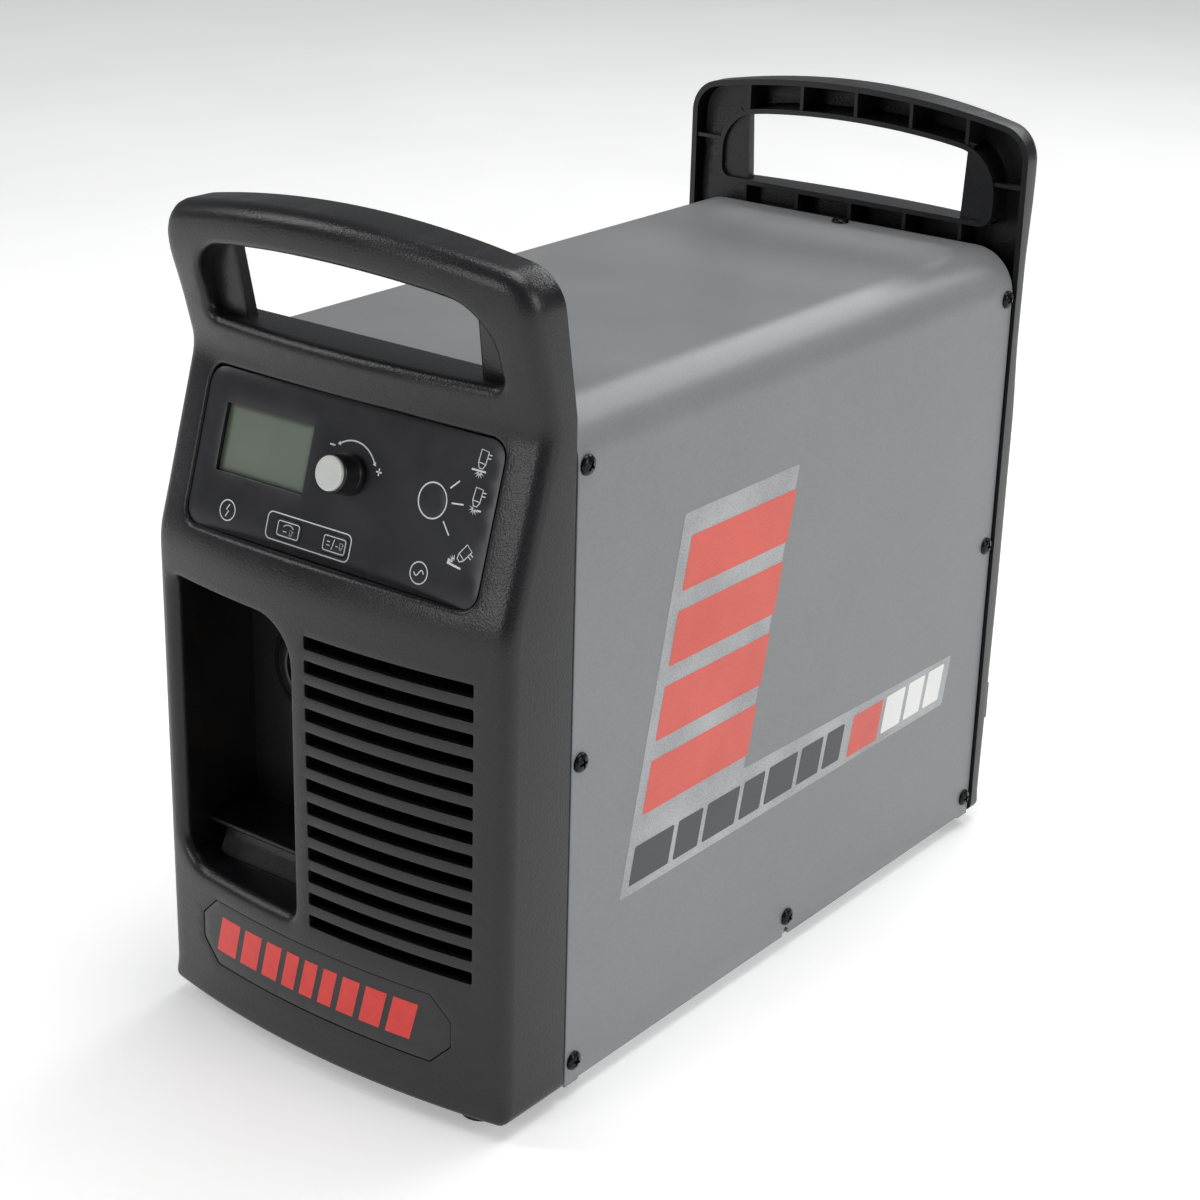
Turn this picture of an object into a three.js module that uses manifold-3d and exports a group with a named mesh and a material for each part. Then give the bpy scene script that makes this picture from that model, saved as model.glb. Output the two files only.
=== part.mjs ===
// Portable plasma cutting power supply: two moulded ends with carrying handles, a folded sheet
// cover, a base tray, the operator panel, the connectors and the main parts inside.
// Millimetres. X is across, the front faces -Y, Z is up and the rubber feet stand on Z = 0.
import * as THREE from "three";
import { mergeVertices } from "three/addons/utils/BufferGeometryUtils.js";
import Module from "manifold-3d";

const wasm = await Module();
wasm.setup();

// ---------------------------------------------------------------- driving dimensions

const WIDTH = 234; // across the moulded ends
const HEIGHT = 447.5; // floor to the top of the handles
const DEPTH = 511; // front face to the cord gland's nut
const CLEARANCE = 0.3; // between two pieces that touch
const WALL = 3.5; // moulded walls

const FOOT_HEIGHT = 9;
const FOOT_RADIUS = 12;
const FOOT_SIDE_INSET = 29;
const FOOT_END_INSET = 29;

const BOW = 12.5; // how far the middle of an end stands out from its sides
const ARCH_RADIUS = 560; // top of the handles
const HANDLE_CORNER = 20;
const HANDLE_BAND = 21; // handle material above the grip opening
const HANDLE_SIDE = 23.5; // and beside it
const HANDLE_LEAN = 15; // how far the top of the front handle's rim lies before its foot
const GRIP_HEIGHT = 45.5;
const GRIP_CORNER = 25;
const GRIP_FOOT_CORNER = 6;
const GRIP_RIM = 3;
const THROAT_INSET = 19;
const THROAT_CORNER = 8;
const FRONT_WEB_DEPTH = 22; // rim plane back to the grip web
const REAR_WEB_DEPTH = 3;
const WEB_THICKNESS = 7;
const RIB = 2.5;
const RIB_PITCH = 38;
const RIB_PLACES = [-2, -1, 0, 1, 2]; // rib pitches from the middle of a handle

const FRONT_SIDE_DEPTH = 46;
const FRONT_EDGE_RADIUS = 8;
const BELLY_DROP = 178; // handle top down to where the face starts to lean back
const LEAN_DROP = 160;
const WAIST_DROP = 85.5;
const BROW_DROP = 50;
const SHOULDER_DROP = 24;
const WAIST_SETBACK = 29;

const REAR_SIDE_DEPTH = 13.5;
const REAR_EDGE_RADIUS = 5;
const REAR_FRAME = 9; // moulded frame around the rear panel
const REAR_PANEL_SETBACK = 3;

const COVER_INSET = 2; // cover side face inside the moulded ends' side faces
const COVER_SHEET = 1.5;
const COVER_TOP_DROP = 79.5;
const COVER_RADIUS = 26;
const COVER_FRONT_GAP = 4;
const COVER_REAR_GAP = 1;
const COVER_TAB = 1.4;
const COVER_TAB_LENGTH = 11;
const TONGUE_LENGTH = 18;
const TONGUE_WALL = 2.5;

const SCREW_HEAD_RADIUS = 5.2;
const SCREW_HEAD_HEIGHT = 3;
const SCREW_SHANK_RADIUS = 2.3;
const SCREW_SHANK_LENGTH = 8;
const SCREW_HOLE_RADIUS = 2.8;
const SCREW_EDGE_DISTANCE = 6.5; // screw axis from the cover's edge
const SCREW_LOW = 12; // screw axis above the cover's lower edge
const SCREW_HIGH_DROP = 27; // screw axis below the cover's top

const SLOT_PITCH = 12.7;
const SLOT_OPENING = 6.6;
const SLOT_SIDE = 19;
const SLOT_CORNER = 0.8;
const SLOT_REACH = 12; // front face at the side back to the end of a slot's cut
const POST_LEFT = 12; // post between the connector pocket and the louvres, left of centre
const POST_RIGHT = 2;
const OPENING_FLOOR = 77; // bezel foot up to the pocket and the louvres
const OPENING_HEADROOM = 21; // belly line down to the pocket's top
const POCKET_SIDE = 15;
const POCKET_DEPTH = 52; // front face at the side back to the pocket's rear wall
const POCKET_CORNERS = { footLeft: 18, footRight: 8, topRight: 24, topLeft: 6 };
const TRAY_WALL = 2.5;
const SHELF_RISE = 19;
const SHELF_DEPTH = 36;
const SHELF_SLOPE = 1.5; // fall of the ledge towards its edge
const SHELF_EDGE = 7.5; // height of the ledge's front edge
const SHELF_RUN = 6; // level part of the scoop behind the bezel's lip
const SHELF_LIP = 4;

const BADGE_LOW = 26;
const BADGE_HEIGHT = 38;
const BADGE_SIDE = 31;
const BADGE_CORNER = 12;
const BADGE_THICKNESS = 1.2;

const PANEL_TILT = THREE.MathUtils.degToRad(17.1);
const PANEL_SIDE = 22;
const PANEL_LENGTH = 81; // up the slope
const PANEL_CORNER = 9;
const PANEL_TOP_DROP = 92; // handle top down to the panel's top edge
const PANEL_TOP_SETBACK = 24; // front face at the side back to the panel's top edge
const PANEL_SHEET = 1.2;
const SEAT_WALL = 3;
const LCD = { width: 59, height: 34, left: 14, low: 29.7, corner: 1, glass: 1.5, margin: 4, depth: 7 };
const MODE_KEY = { radius: 7.7, side: 37, low: 45.4 };
const KEYS = { width: 16, height: 9.2, low: 11.3, pressure: -26, units: 4.5 };
const KEY_TRAVEL = 0.4;
const KEY_THICKNESS = 1.2;
const KEY_PROUD = 0.3;
const KNOB = { radius: 10.4, height: 15.5, capRadius: 8.6, beside: 27.5, low: 46, foot: 0.4 };

const KNOB_SEAT = 1.5; // cap's seat below the knob's top
const KNOB_SKIRT = 3;
const CAP_BEVEL = 0.6;
const SHAFT_DROP = 5; // shaft's end below the knob's top
const ENCODER = { half: 7, bush: 4.6, depth: 14, floor: 3, base: 1 };
const PANEL_HOLE = 6;
const SEAT_HOLE = 5;
const BOARD_SHEET = 1.6;
const CONTROL_BOARD = { inset: 12, height: 62 };
const PANEL_CUT = 5; // how far a cut through the panel reaches each way

const SHAFT_RADIUS = 3;
const SHAFT_CLEARANCE = 0.25;
const GLAND_REACH = 29.5;
const GLAND = { side: 33, height: 71, hexRadius: 24, barrel: 15, bore: 8 };

// ---------------------------------------------------------------- places worked out from them

const HALF_WIDTH = WIDTH / 2;
const frontFaceY = -DEPTH / 2 + BOW;
const frontRimY = frontFaceY + FRONT_SIDE_DEPTH;
const rearPanelY = DEPTH / 2 - GLAND_REACH;
const rearFaceY = rearPanelY + REAR_PANEL_SETBACK;
const rearRimY = rearFaceY - REAR_SIDE_DEPTH;
const coverFrontY = frontRimY + COVER_FRONT_GAP;
const coverRearY = rearRimY - COVER_REAR_GAP;
const coverTopZ = HEIGHT - COVER_TOP_DROP;
const coverHalfWidth = HALF_WIDTH - COVER_INSET;
const tongueInset = COVER_SHEET + CLEARANCE;
const tongueHalfWidth = coverHalfWidth - tongueInset;
const tongueTopZ = coverTopZ - tongueInset;
const tongueRadius = COVER_RADIUS - tongueInset;
const tongueFootZ = FOOT_HEIGHT + 2;
const gripTopZ = HEIGHT - HANDLE_BAND;
const gripFootZ = gripTopZ - GRIP_HEIGHT;
const gripHalfWidth = HALF_WIDTH - HANDLE_SIDE;
const bellyZ = HEIGHT - BELLY_DROP;
const openingFootZ = FOOT_HEIGHT + OPENING_FLOOR;
const openingTopZ = bellyZ - OPENING_HEADROOM;
const trayRearY = frontFaceY + POCKET_DEPTH;
const pocketLeft = -HALF_WIDTH + POCKET_SIDE;
const pocketMiddle = (pocketLeft - POST_LEFT) / 2;
const panFrontY = frontRimY + TONGUE_LENGTH + CLEARANCE;
const panRearY = rearRimY - TONGUE_LENGTH - CLEARANCE;
const panTopZ = FOOT_HEIGHT + CLEARANCE + COVER_SHEET;
const floorZ = panTopZ + CLEARANCE; // underside of what stands on the tray

// ---------------------------------------------------------------- solids

const { Manifold, Mesh: SolidMesh } = wasm;

// A three.js geometry as a solid that can be cut and joined.
function solidOf(geometry) {
  const bare = new THREE.BufferGeometry();
  bare.setAttribute("position", geometry.getAttribute("position"));
  if (geometry.index) bare.setIndex(geometry.index);
  const merged = mergeVertices(bare, 1e-4);
  return new Manifold(
    new SolidMesh({
      numProp: 3,
      vertProperties: Float32Array.from(merged.attributes.position.array),
      triVerts: Uint32Array.from(merged.index.array),
    }),
  );
}

function geometryOf(solid) {
  const mesh = solid.getMesh();
  const geometry = new THREE.BufferGeometry();
  geometry.setAttribute("position", new THREE.BufferAttribute(mesh.vertProperties, 3));
  geometry.setIndex(new THREE.BufferAttribute(mesh.triVerts, 1));
  const flat = geometry.toNonIndexed();
  flat.computeVertexNormals();
  return flat;
}

const join = (...solids) => solids.reduce((a, b) => a.add(b));
const cut = (solid, ...tools) => tools.reduce((a, b) => a.subtract(b), solid);
const common = (...solids) => solids.reduce((a, b) => a.intersect(b));

// Corners given as [across, up, radius] become an outline with true rounded corners.
function rounded(corners, arcSteps = 3) {
  const points = [];
  corners.forEach(([x, y, radius = 0], i) => {
    const corner = new THREE.Vector2(x, y);
    if (radius <= 0) {
      points.push(corner);
      return;
    }
    const [bx, by] = corners[(i + corners.length - 1) % corners.length];
    const [ax, ay] = corners[(i + 1) % corners.length];
    const before = new THREE.Vector2(bx, by).sub(corner).normalize();
    const after = new THREE.Vector2(ax, ay).sub(corner).normalize();
    const half = Math.acos(before.dot(after)) / 2;
    const centre = before.clone().add(after).normalize();
    centre.multiplyScalar(radius / Math.sin(half)).add(corner);
    const start = before.multiplyScalar(radius / Math.tan(half)).add(corner).sub(centre);
    const end = after.multiplyScalar(radius / Math.tan(half)).add(corner).sub(centre);
    const sweep = Math.atan2(start.cross(end), start.dot(end));
    for (let k = 0; k <= arcSteps; k += 1) {
      const turned = start.clone().rotateAround(new THREE.Vector2(), (sweep * k) / arcSteps);
      points.push(turned.add(centre));
    }
  });
  return new THREE.Shape(points);
}

const box2 = (x0, x1, y0, y1, radius = 0) => [
  [x0, y0, radius],
  [x1, y0, radius],
  [x1, y1, radius],
  [x0, y1, radius],
];

function disc(radius, x = 0, y = 0) {
  const shape = new THREE.Shape();
  shape.absarc(x, y, radius, 0, Math.PI * 2);
  return shape;
}

function hexagon(radius, x = 0, y = 0) {
  const points = [];
  for (let k = 0; k < 6; k += 1) {
    const angle = (k * Math.PI) / 3;
    points.push(new THREE.Vector2(x + radius * Math.cos(angle), y + radius * Math.sin(angle)));
  }
  return new THREE.Shape(points);
}

function prism(shape, length, round = 9) {
  const options = { depth: length, bevelEnabled: false, curveSegments: round };
  return new THREE.ExtrudeGeometry(shape, options);
}

// A shape drawn in X and Z, from y0 to y1.
function alongY(shape, y0, y1, round) {
  const geometry = prism(shape, y1 - y0, round);
  geometry.rotateX(Math.PI / 2);
  geometry.translate(0, y1, 0);
  return solidOf(geometry);
}

// A shape drawn in X and Y, from z0 to z1.
function alongZ(shape, z0, z1, round) {
  const geometry = prism(shape, z1 - z0, round);
  geometry.translate(0, 0, z0);
  return solidOf(geometry);
}

// A shape drawn in Y and Z, from x0 to x1.
function alongX(shape, x0, x1, round) {
  const geometry = prism(shape, x1 - x0, round);
  const turn = new THREE.Matrix4().makeBasis(
    new THREE.Vector3(0, 1, 0),
    new THREE.Vector3(0, 0, 1),
    new THREE.Vector3(1, 0, 0),
  );
  geometry.applyMatrix4(turn);
  geometry.translate(x0, 0, 0);
  return solidOf(geometry);
}

function block(x0, x1, y0, y1, z0, z1) {
  const geometry = new THREE.BoxGeometry(x1 - x0, y1 - y0, z1 - z0);
  geometry.translate((x0 + x1) / 2, (y0 + y1) / 2, (z0 + z1) / 2);
  return solidOf(geometry);
}

// A turned piece: the profile is [radius, height] pairs and the axis is Z.
function turned(profile, segments = 20) {
  const points = profile.map(([radius, height]) => new THREE.Vector2(radius, height));
  const geometry = new THREE.LatheGeometry(points, segments);
  geometry.rotateX(Math.PI / 2);
  return solidOf(geometry);
}

// ---------------------------------------------------------------- moulded ends

// How far the top of a handle is below its middle at a distance x from it.
const archDrop = (x) => ARCH_RADIUS - Math.sqrt(ARCH_RADIUS ** 2 - x ** 2);
const bowAt = (x) => BOW * (1 - (x / HALF_WIDTH) ** 2);

const FRONT = {
  faceY: frontFaceY,
  rimY: frontRimY,
  inward: 1,
  edgeRadius: FRONT_EDGE_RADIUS,
  // Height and distance back from the face, foot to handle top.
  profile: [
    [FOOT_HEIGHT, 3],
    [FOOT_HEIGHT + 4, 0],
    [bellyZ, 0],
    [HEIGHT - LEAN_DROP, 6],
    [HEIGHT - WAIST_DROP, WAIST_SETBACK],
    [HEIGHT - BROW_DROP, 21],
    [HEIGHT - SHOULDER_DROP, 13],
    [HEIGHT - 10, 12],
    [HEIGHT - 3, 15],
    [HEIGHT, 22],
  ],
};

const REAR = {
  faceY: rearFaceY,
  rimY: rearRimY,
  inward: -1,
  edgeRadius: REAR_EDGE_RADIUS,
  profile: [
    [FOOT_HEIGHT, 5],
    [FOOT_HEIGHT + 11, 3],
    [FOOT_HEIGHT + 141, 0.5],
    [bellyZ, 0.5],
    [HEIGHT - LEAN_DROP + 22, 3],
    [HEIGHT - WAIST_DROP, 2.5],
    [HEIGHT - BROW_DROP, 0],
    [HEIGHT - SHOULDER_DROP, -2],
    [HEIGHT - 9, -1.5],
    [HEIGHT - 3, 1],
    [HEIGHT, 7],
  ],
};

// Places across the width where a bowed piece has vertices: close together in its rounded edges.
function stations(halfWidth, radius) {
  const flat = halfWidth - radius;
  const side = [0, 0.5, 1].map((share) => flat + radius * Math.sin((share * Math.PI) / 2));
  const middle = [-0.75, -0.5, -0.25, 0, 0.25, 0.5, 0.75].map((share) => share * flat);
  return [...side.map((x) => -x).reverse(), ...middle, ...side];
}

// A block with an end's side profile, bowed across the width and arched along its top. Its face
// is `offset` inside the end's own face and it reaches from there to openY.
function bowedBlock(end, offset, openY) {
  const halfWidth = HALF_WIDTH - offset;
  const radius = Math.max(end.edgeRadius - offset, 1);
  const topFrom = HEIGHT - SHOULDER_DROP - WALL - 1;
  const last = end.profile.length - 1;
  const face = end.profile.map(([z, setback], i) => {
    const lift = i === 0 ? offset : i === last || z > topFrom ? -offset : 0;
    return [end.faceY + end.inward * (setback + offset), z + lift];
  });
  const outline = [...face, [openY, face[last][1]], [openY, face[0][1]]];
  const places = stations(halfWidth, radius);
  const shape = new THREE.Shape(outline.map(([y, z]) => new THREE.Vector2(y, z)));
  const steps = places.length - 1;
  const geometry = new THREE.ExtrudeGeometry(shape, { depth: 1, steps, bevelEnabled: false });
  const position = geometry.getAttribute("position");
  for (let i = 0; i < position.count; i += 1) {
    const x = places[Math.round(position.getZ(i) * steps)];
    const edge = THREE.MathUtils.clamp(Math.abs(x) - (halfWidth - radius), 0, radius);
    const roundOff = radius - Math.sqrt(radius ** 2 - edge ** 2);
    const onFace = Math.abs(position.getX(i) - openY) > 1e-3;
    const shift = onFace ? end.inward * (roundOff - bowAt(x)) : 0;
    const drop = position.getY(i) > topFrom ? archDrop(x) : 0;
    position.setXYZ(i, x, position.getX(i) + shift, position.getY(i) - drop);
  }
  return solidOf(geometry);
}

// The end seen from the front, `inset` inside its edge.
function endOutline(inset) {
  const side = HALF_WIDTH - inset;
  const foot = FOOT_HEIGHT + inset;
  const top = (x) => HEIGHT - inset - archDrop(x);
  const arch = [0.7, 0.35, 0, -0.35, -0.7].map((share) => [share * side, top(share * side)]);
  const foots = 5 - Math.min(inset, 4);
  const corner = HANDLE_CORNER - inset;
  return rounded([
    [-side, foot, foots],
    [side, foot, foots],
    [side, top(side), corner],
    ...arch,
    [-side, top(side), corner],
  ]);
}

// The grip opening, `grow` outside its edge, narrowed to the given half width.
function gripOutline(grow, halfWidth = gripHalfWidth, corner = GRIP_CORNER) {
  const side = halfWidth + grow;
  const top = (x) => gripTopZ + grow - archDrop(x);
  const arch = [0.5, 0.25, 0, -0.25, -0.5].map((share) => [share * side, top(share * side)]);
  return rounded([
    [-side, gripFootZ - grow, GRIP_FOOT_CORNER + grow],
    [side, gripFootZ - grow, GRIP_FOOT_CORNER + grow],
    [side, top(side), corner + grow],
    ...arch,
    [-side, top(side), corner + grow],
  ]);
}

// The cover's section, `inset` inside its outer face: flat sides, rounded top corners.
function coverOutline(inset, footZ) {
  const side = coverHalfWidth - inset;
  const top = coverTopZ - inset;
  const corner = COVER_RADIUS - inset;
  return rounded([
    [-side, footZ, 0],
    [side, footZ, 0],
    [side, top, corner],
    [-side, top, corner],
  ]);
}

// Stiffening ribs in the hollow of a handle.
function handleRibs(end) {
  const near = end.rimY - end.inward * 1;
  const far = end.faceY - end.inward * BOW;
  const y0 = Math.min(near, far);
  const y1 = Math.max(near, far);
  const ribs = RIB_PLACES.map((k) => {
    const x = k * RIB_PITCH;
    return block(x - RIB / 2, x + RIB / 2, y0, y1, tongueTopZ - 1, HEIGHT);
  });
  const sideRibZ = (gripTopZ + gripFootZ) / 2;
  const across = block(-HALF_WIDTH, HALF_WIDTH, y0, y1, sideRibZ - RIB / 2, sideRibZ + RIB / 2);
  return join(...ribs, across);
}

// One moulded end: hollow shell, hollow ribbed handle, a divider under the handle and a tongue
// that the cover slides over.
function mouldedEnd(end) {
  const inside = end.rimY + end.inward * (TONGUE_LENGTH + 1);
  const flangeY = end.rimY - end.inward * TONGUE_WALL;
  const low = -DEPTH;
  const outer = common(bowedBlock(end, 0, end.rimY), alongY(endOutline(0), low, DEPTH));
  const hollow = bowedBlock(end, WALL, inside);

  const faceToFlange = [end.faceY - end.inward * (BOW + 10), flangeY].sort((a, b) => a - b);
  const bodyTop = tongueTopZ - WALL;
  const bodyRoom = block(-WIDTH, WIDTH, ...faceToFlange, 0, bodyTop);
  const handleRoom = cut(
    block(-WIDTH, WIDTH, low, DEPTH, tongueTopZ, HEIGHT * 2),
    alongY(gripOutline(GRIP_RIM), low, DEPTH),
    handleRibs(end),
  );
  const bodyHollow = common(hollow, bodyRoom);
  const handleHollow = common(hollow, alongY(endOutline(WALL), low, DEPTH), handleRoom);

  const tongueSpan = [end.rimY - end.inward * 1, end.rimY + end.inward * TONGUE_LENGTH];
  const openSpan = [flangeY - end.inward * 1, inside];
  tongueSpan.sort((a, b) => a - b);
  openSpan.sort((a, b) => a - b);
  const tongue = alongY(coverOutline(tongueInset, tongueFootZ), ...tongueSpan);
  const opening = alongY(
    coverOutline(tongueInset + TONGUE_WALL + 1, tongueFootZ + TONGUE_WALL),
    ...openSpan,
  );

  const webY = end.inward > 0 ? frontRimY - FRONT_WEB_DEPTH : rearRimY + REAR_WEB_DEPTH;
  const throat = gripOutline(0, gripHalfWidth - THROAT_INSET, THROAT_CORNER);
  const web = cut(
    alongY(gripOutline(1), webY, webY + WEB_THICKNESS),
    alongY(throat, low, DEPTH),
  );
  const shell = cut(
    join(outer, tongue),
    bodyHollow,
    opening,
    handleHollow,
    alongY(gripOutline(0), low, DEPTH),
  );
  return cut(join(shell, web), ...coverScrewHoles());
}

// ---------------------------------------------------------------- operator panel frame

const panelCentre = new THREE.Vector3(
  0,
  frontFaceY + PANEL_TOP_SETBACK - (PANEL_LENGTH / 2) * Math.sin(PANEL_TILT),
  HEIGHT - PANEL_TOP_DROP - (PANEL_LENGTH / 2) * Math.cos(PANEL_TILT),
);
const panelHalf = HALF_WIDTH - PANEL_SIDE;
const panelFoot = -PANEL_LENGTH / 2;

// Panel space is X across, Y up the slope and Z out of the panel's face.
const panelMatrix = new THREE.Matrix4()
  .makeRotationX(Math.PI / 2 - PANEL_TILT)
  .setPosition(panelCentre);

function onPanel(shape, z0, z1, round) {
  const geometry = prism(shape, z1 - z0, round);
  geometry.translate(0, 0, z0);
  geometry.applyMatrix4(panelMatrix);
  return solidOf(geometry);
}

const lcdLeft = -panelHalf + LCD.left;
const lcdFoot = panelFoot + LCD.low;
const lcdOutline = (grow) =>
  rounded(
    box2(
      lcdLeft - grow,
      lcdLeft + LCD.width + grow,
      lcdFoot - grow,
      lcdFoot + LCD.height + grow,
      LCD.corner + grow,
    ),
    2,
  );
const knobX = lcdLeft + LCD.width + KNOB.beside;
const knobY = panelFoot + KNOB.low;
const modeX = panelHalf - MODE_KEY.side;
const modeY = panelFoot + MODE_KEY.low;
const keyY = panelFoot + KEYS.low;
const keyXs = { pressure_button: KEYS.pressure, units_button: KEYS.units };

const keyOutline = (x, grow) =>
  rounded(
    box2(
      x - KEYS.width / 2 - grow,
      x + KEYS.width / 2 + grow,
      keyY - KEYS.height / 2 - grow,
      keyY + KEYS.height / 2 + grow,
      2 + grow,
    ),
    3,
  );
const modeOutline = (grow) => disc(MODE_KEY.radius + grow, modeX, modeY);
const panelOutline = (grow) =>
  rounded(
    box2(
      -panelHalf - grow,
      panelHalf + grow,
      panelFoot - grow,
      panelFoot + PANEL_LENGTH + grow,
      PANEL_CORNER + grow,
    ),
  );

const seatZ = -PANEL_SHEET - CLEARANCE; // seat's face, under the printed sheet

function operatorPanel() {
  const sheet = onPanel(panelOutline(-CLEARANCE), -PANEL_SHEET, 0);
  return cut(
    sheet,
    onPanel(lcdOutline(CLEARANCE), -PANEL_CUT, PANEL_CUT),
    onPanel(disc(PANEL_HOLE, knobX, knobY), -PANEL_CUT, PANEL_CUT),
    onPanel(modeOutline(CLEARANCE), -PANEL_CUT, PANEL_CUT),
    ...Object.values(keyXs).map((x) => onPanel(keyOutline(x, CLEARANCE), -PANEL_CUT, PANEL_CUT)),
  );
}

const keySpan = [KEY_PROUD - KEY_THICKNESS, KEY_PROUD];
const modeButton = () => onPanel(modeOutline(0), ...keySpan);
const squareButton = (x) => onPanel(keyOutline(x, 0), ...keySpan);

function onKnobAxis(profile, segments) {
  const geometry = new THREE.LatheGeometry(
    profile.map(([radius, height]) => new THREE.Vector2(radius, height)),
    segments,
  );
  geometry.rotateX(Math.PI / 2);
  geometry.translate(knobX, knobY, 0);
  geometry.applyMatrix4(panelMatrix);
  return solidOf(geometry);
}

const capSeat = KNOB.height - KNOB_SEAT;
const shaftTop = KNOB.height - SHAFT_DROP;

function adjustmentKnob() {
  const boreRadius = SHAFT_RADIUS + SHAFT_CLEARANCE;
  return onKnobAxis(
    [
      [boreRadius, KNOB.foot],
      [KNOB.radius, KNOB.foot],
      [KNOB.radius, KNOB_SKIRT],
      [KNOB.radius - 0.5, capSeat],
      [KNOB.radius - 1.2, capSeat + 0.9],
      [KNOB.capRadius + CLEARANCE, capSeat + 0.9],
      [KNOB.capRadius + CLEARANCE, capSeat - CLEARANCE],
      [0, capSeat - CLEARANCE],
      [0, shaftTop + CLEARANCE],
      [boreRadius, shaftTop + CLEARANCE],
      [boreRadius, KNOB.foot],
    ],
    20,
  );
}

const knobCap = () =>
  onKnobAxis(
    [
      [0, capSeat],
      [KNOB.capRadius, capSeat],
      [KNOB.capRadius, KNOB.height - 0.5],
      [KNOB.capRadius - CAP_BEVEL, KNOB.height],
      [0, KNOB.height],
    ],
    20,
  );

const encoderShaft = () =>
  onKnobAxis(
    [
      [0, ENCODER.floor - ENCODER.depth],
      [SHAFT_RADIUS, ENCODER.floor - ENCODER.depth],
      [SHAFT_RADIUS, shaftTop],
      [0, shaftTop],
    ],
    16,
  );

function encoderBody() {
  const top = seatZ - SEAT_WALL - CLEARANCE;
  const { half, bush, depth, floor, base } = ENCODER;
  const square = rounded(box2(knobX - half, knobX + half, knobY - half, knobY + half));
  const neck = onPanel(disc(bush, knobX, knobY), base - depth, -KNOB.foot, 8);
  const bore = onPanel(
    disc(SHAFT_RADIUS + SHAFT_CLEARANCE, knobX, knobY),
    floor - depth - SHAFT_CLEARANCE,
    PANEL_CUT,
    8,
  );
  return cut(join(onPanel(square, -depth, top), neck), bore);
}

function displayModule() {
  const top = seatZ - SEAT_WALL - CLEARANCE;
  return onPanel(lcdOutline(LCD.margin), top - LCD.depth, top);
}

const displayWindow = () => onPanel(lcdOutline(0), seatZ - LCD.glass, -KNOB.foot);

function controlBoard() {
  const { inset, height } = CONTROL_BOARD;
  const top = -ENCODER.depth - CLEARANCE;
  const foot = panelFoot + inset;
  const board = rounded(box2(inset - panelHalf, panelHalf - inset, foot, foot + height));
  return onPanel(board, top - BOARD_SHEET, top);
}

// ---------------------------------------------------------------- front bezel

function slotCount() {
  const room = openingTopZ - openingFootZ - SLOT_OPENING;
  return Math.floor(room / SLOT_PITCH + 1e-6) + 1;
}

function louvreSlots() {
  const right = HALF_WIDTH - SLOT_SIDE;
  const slots = [];
  for (let k = 0; k < slotCount(); k += 1) {
    const foot = openingFootZ + k * SLOT_PITCH;
    const shape = rounded(box2(-POST_RIGHT, right, foot, foot + SLOT_OPENING, SLOT_CORNER), 1);
    slots.push(alongY(shape, -DEPTH, frontFaceY + SLOT_REACH));
  }
  return slots;
}

const pocketOutline = (grow) =>
  rounded([
    [pocketLeft - grow, openingFootZ - grow, POCKET_CORNERS.footLeft + grow],
    [-POST_LEFT + grow, openingFootZ - grow, POCKET_CORNERS.footRight + grow],
    [-POST_LEFT + grow, openingTopZ + grow, POCKET_CORNERS.topRight + grow],
    [pocketLeft - grow, openingTopZ + grow, POCKET_CORNERS.topLeft + grow],
  ]);

function badgeOutline(grow) {
  const left = -HALF_WIDTH + BADGE_SIDE - grow;
  const right = HALF_WIDTH - BADGE_SIDE + grow;
  const foot = FOOT_HEIGHT + BADGE_LOW - grow;
  const top = FOOT_HEIGHT + BADGE_LOW + BADGE_HEIGHT + grow;
  const points = [
    [left + BADGE_CORNER, foot],
    [right - BADGE_CORNER, foot],
    [right, foot + BADGE_CORNER],
    [right, top - BADGE_CORNER],
    [right - BADGE_CORNER, top],
    [left + BADGE_CORNER, top],
    [left, top - BADGE_CORNER],
    [left, foot + BADGE_CORNER],
  ];
  return new THREE.Shape(points.map(([x, z]) => new THREE.Vector2(x, z)));
}

// What lies in front of the badge's seat: the seat is a step in the bowed face.
function aheadOf(depth) {
  return cut(
    block(-WIDTH, WIDTH, -DEPTH, frontFaceY + 5, FOOT_HEIGHT + 5, bellyZ - 1),
    bowedBlock(FRONT, depth, frontRimY),
  );
}

function frontBadge() {
  const skin = cut(bowedBlock(FRONT, 0.2, frontRimY), bowedBlock(FRONT, BADGE_THICKNESS, frontRimY));
  return common(skin, alongY(badgeOutline(0), -DEPTH, frontFaceY + 5));
}

// Above its foot the front handle's rim leans forward, so this wedge is cut from behind it.
function behindHandle() {
  const footZ = gripFootZ - HANDLE_LEAN;
  return alongX(
    rounded([
      [frontRimY, footZ, 0],
      [frontRimY + 1, footZ, 0],
      [frontRimY + 1, HEIGHT + 1, 0],
      [frontRimY - HANDLE_LEAN, HEIGHT + 1, 0],
    ]),
    -WIDTH,
    WIDTH,
  );
}

function frontBezel() {
  const shell = cut(mouldedEnd(FRONT), behindHandle());
  const seatBlock = common(
    onPanel(panelOutline(SEAT_WALL), seatZ - SEAT_WALL, 30),
    bowedBlock(FRONT, 0, frontRimY),
  );
  const badgeSeat = common(
    aheadOf(BADGE_THICKNESS + CLEARANCE),
    alongY(badgeOutline(CLEARANCE), -DEPTH, frontFaceY + 5),
  );
  return cut(
    join(shell, seatBlock),
    onPanel(panelOutline(0), seatZ, 40),
    onPanel(lcdOutline(0.8), -20, PANEL_CUT),
    onPanel(disc(SEAT_HOLE, knobX, knobY), -20, PANEL_CUT),
    ...louvreSlots(),
    alongY(pocketOutline(0), -DEPTH, frontFaceY + 25),
    badgeSeat,
  );
}

// ---------------------------------------------------------------- connector pocket

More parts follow.
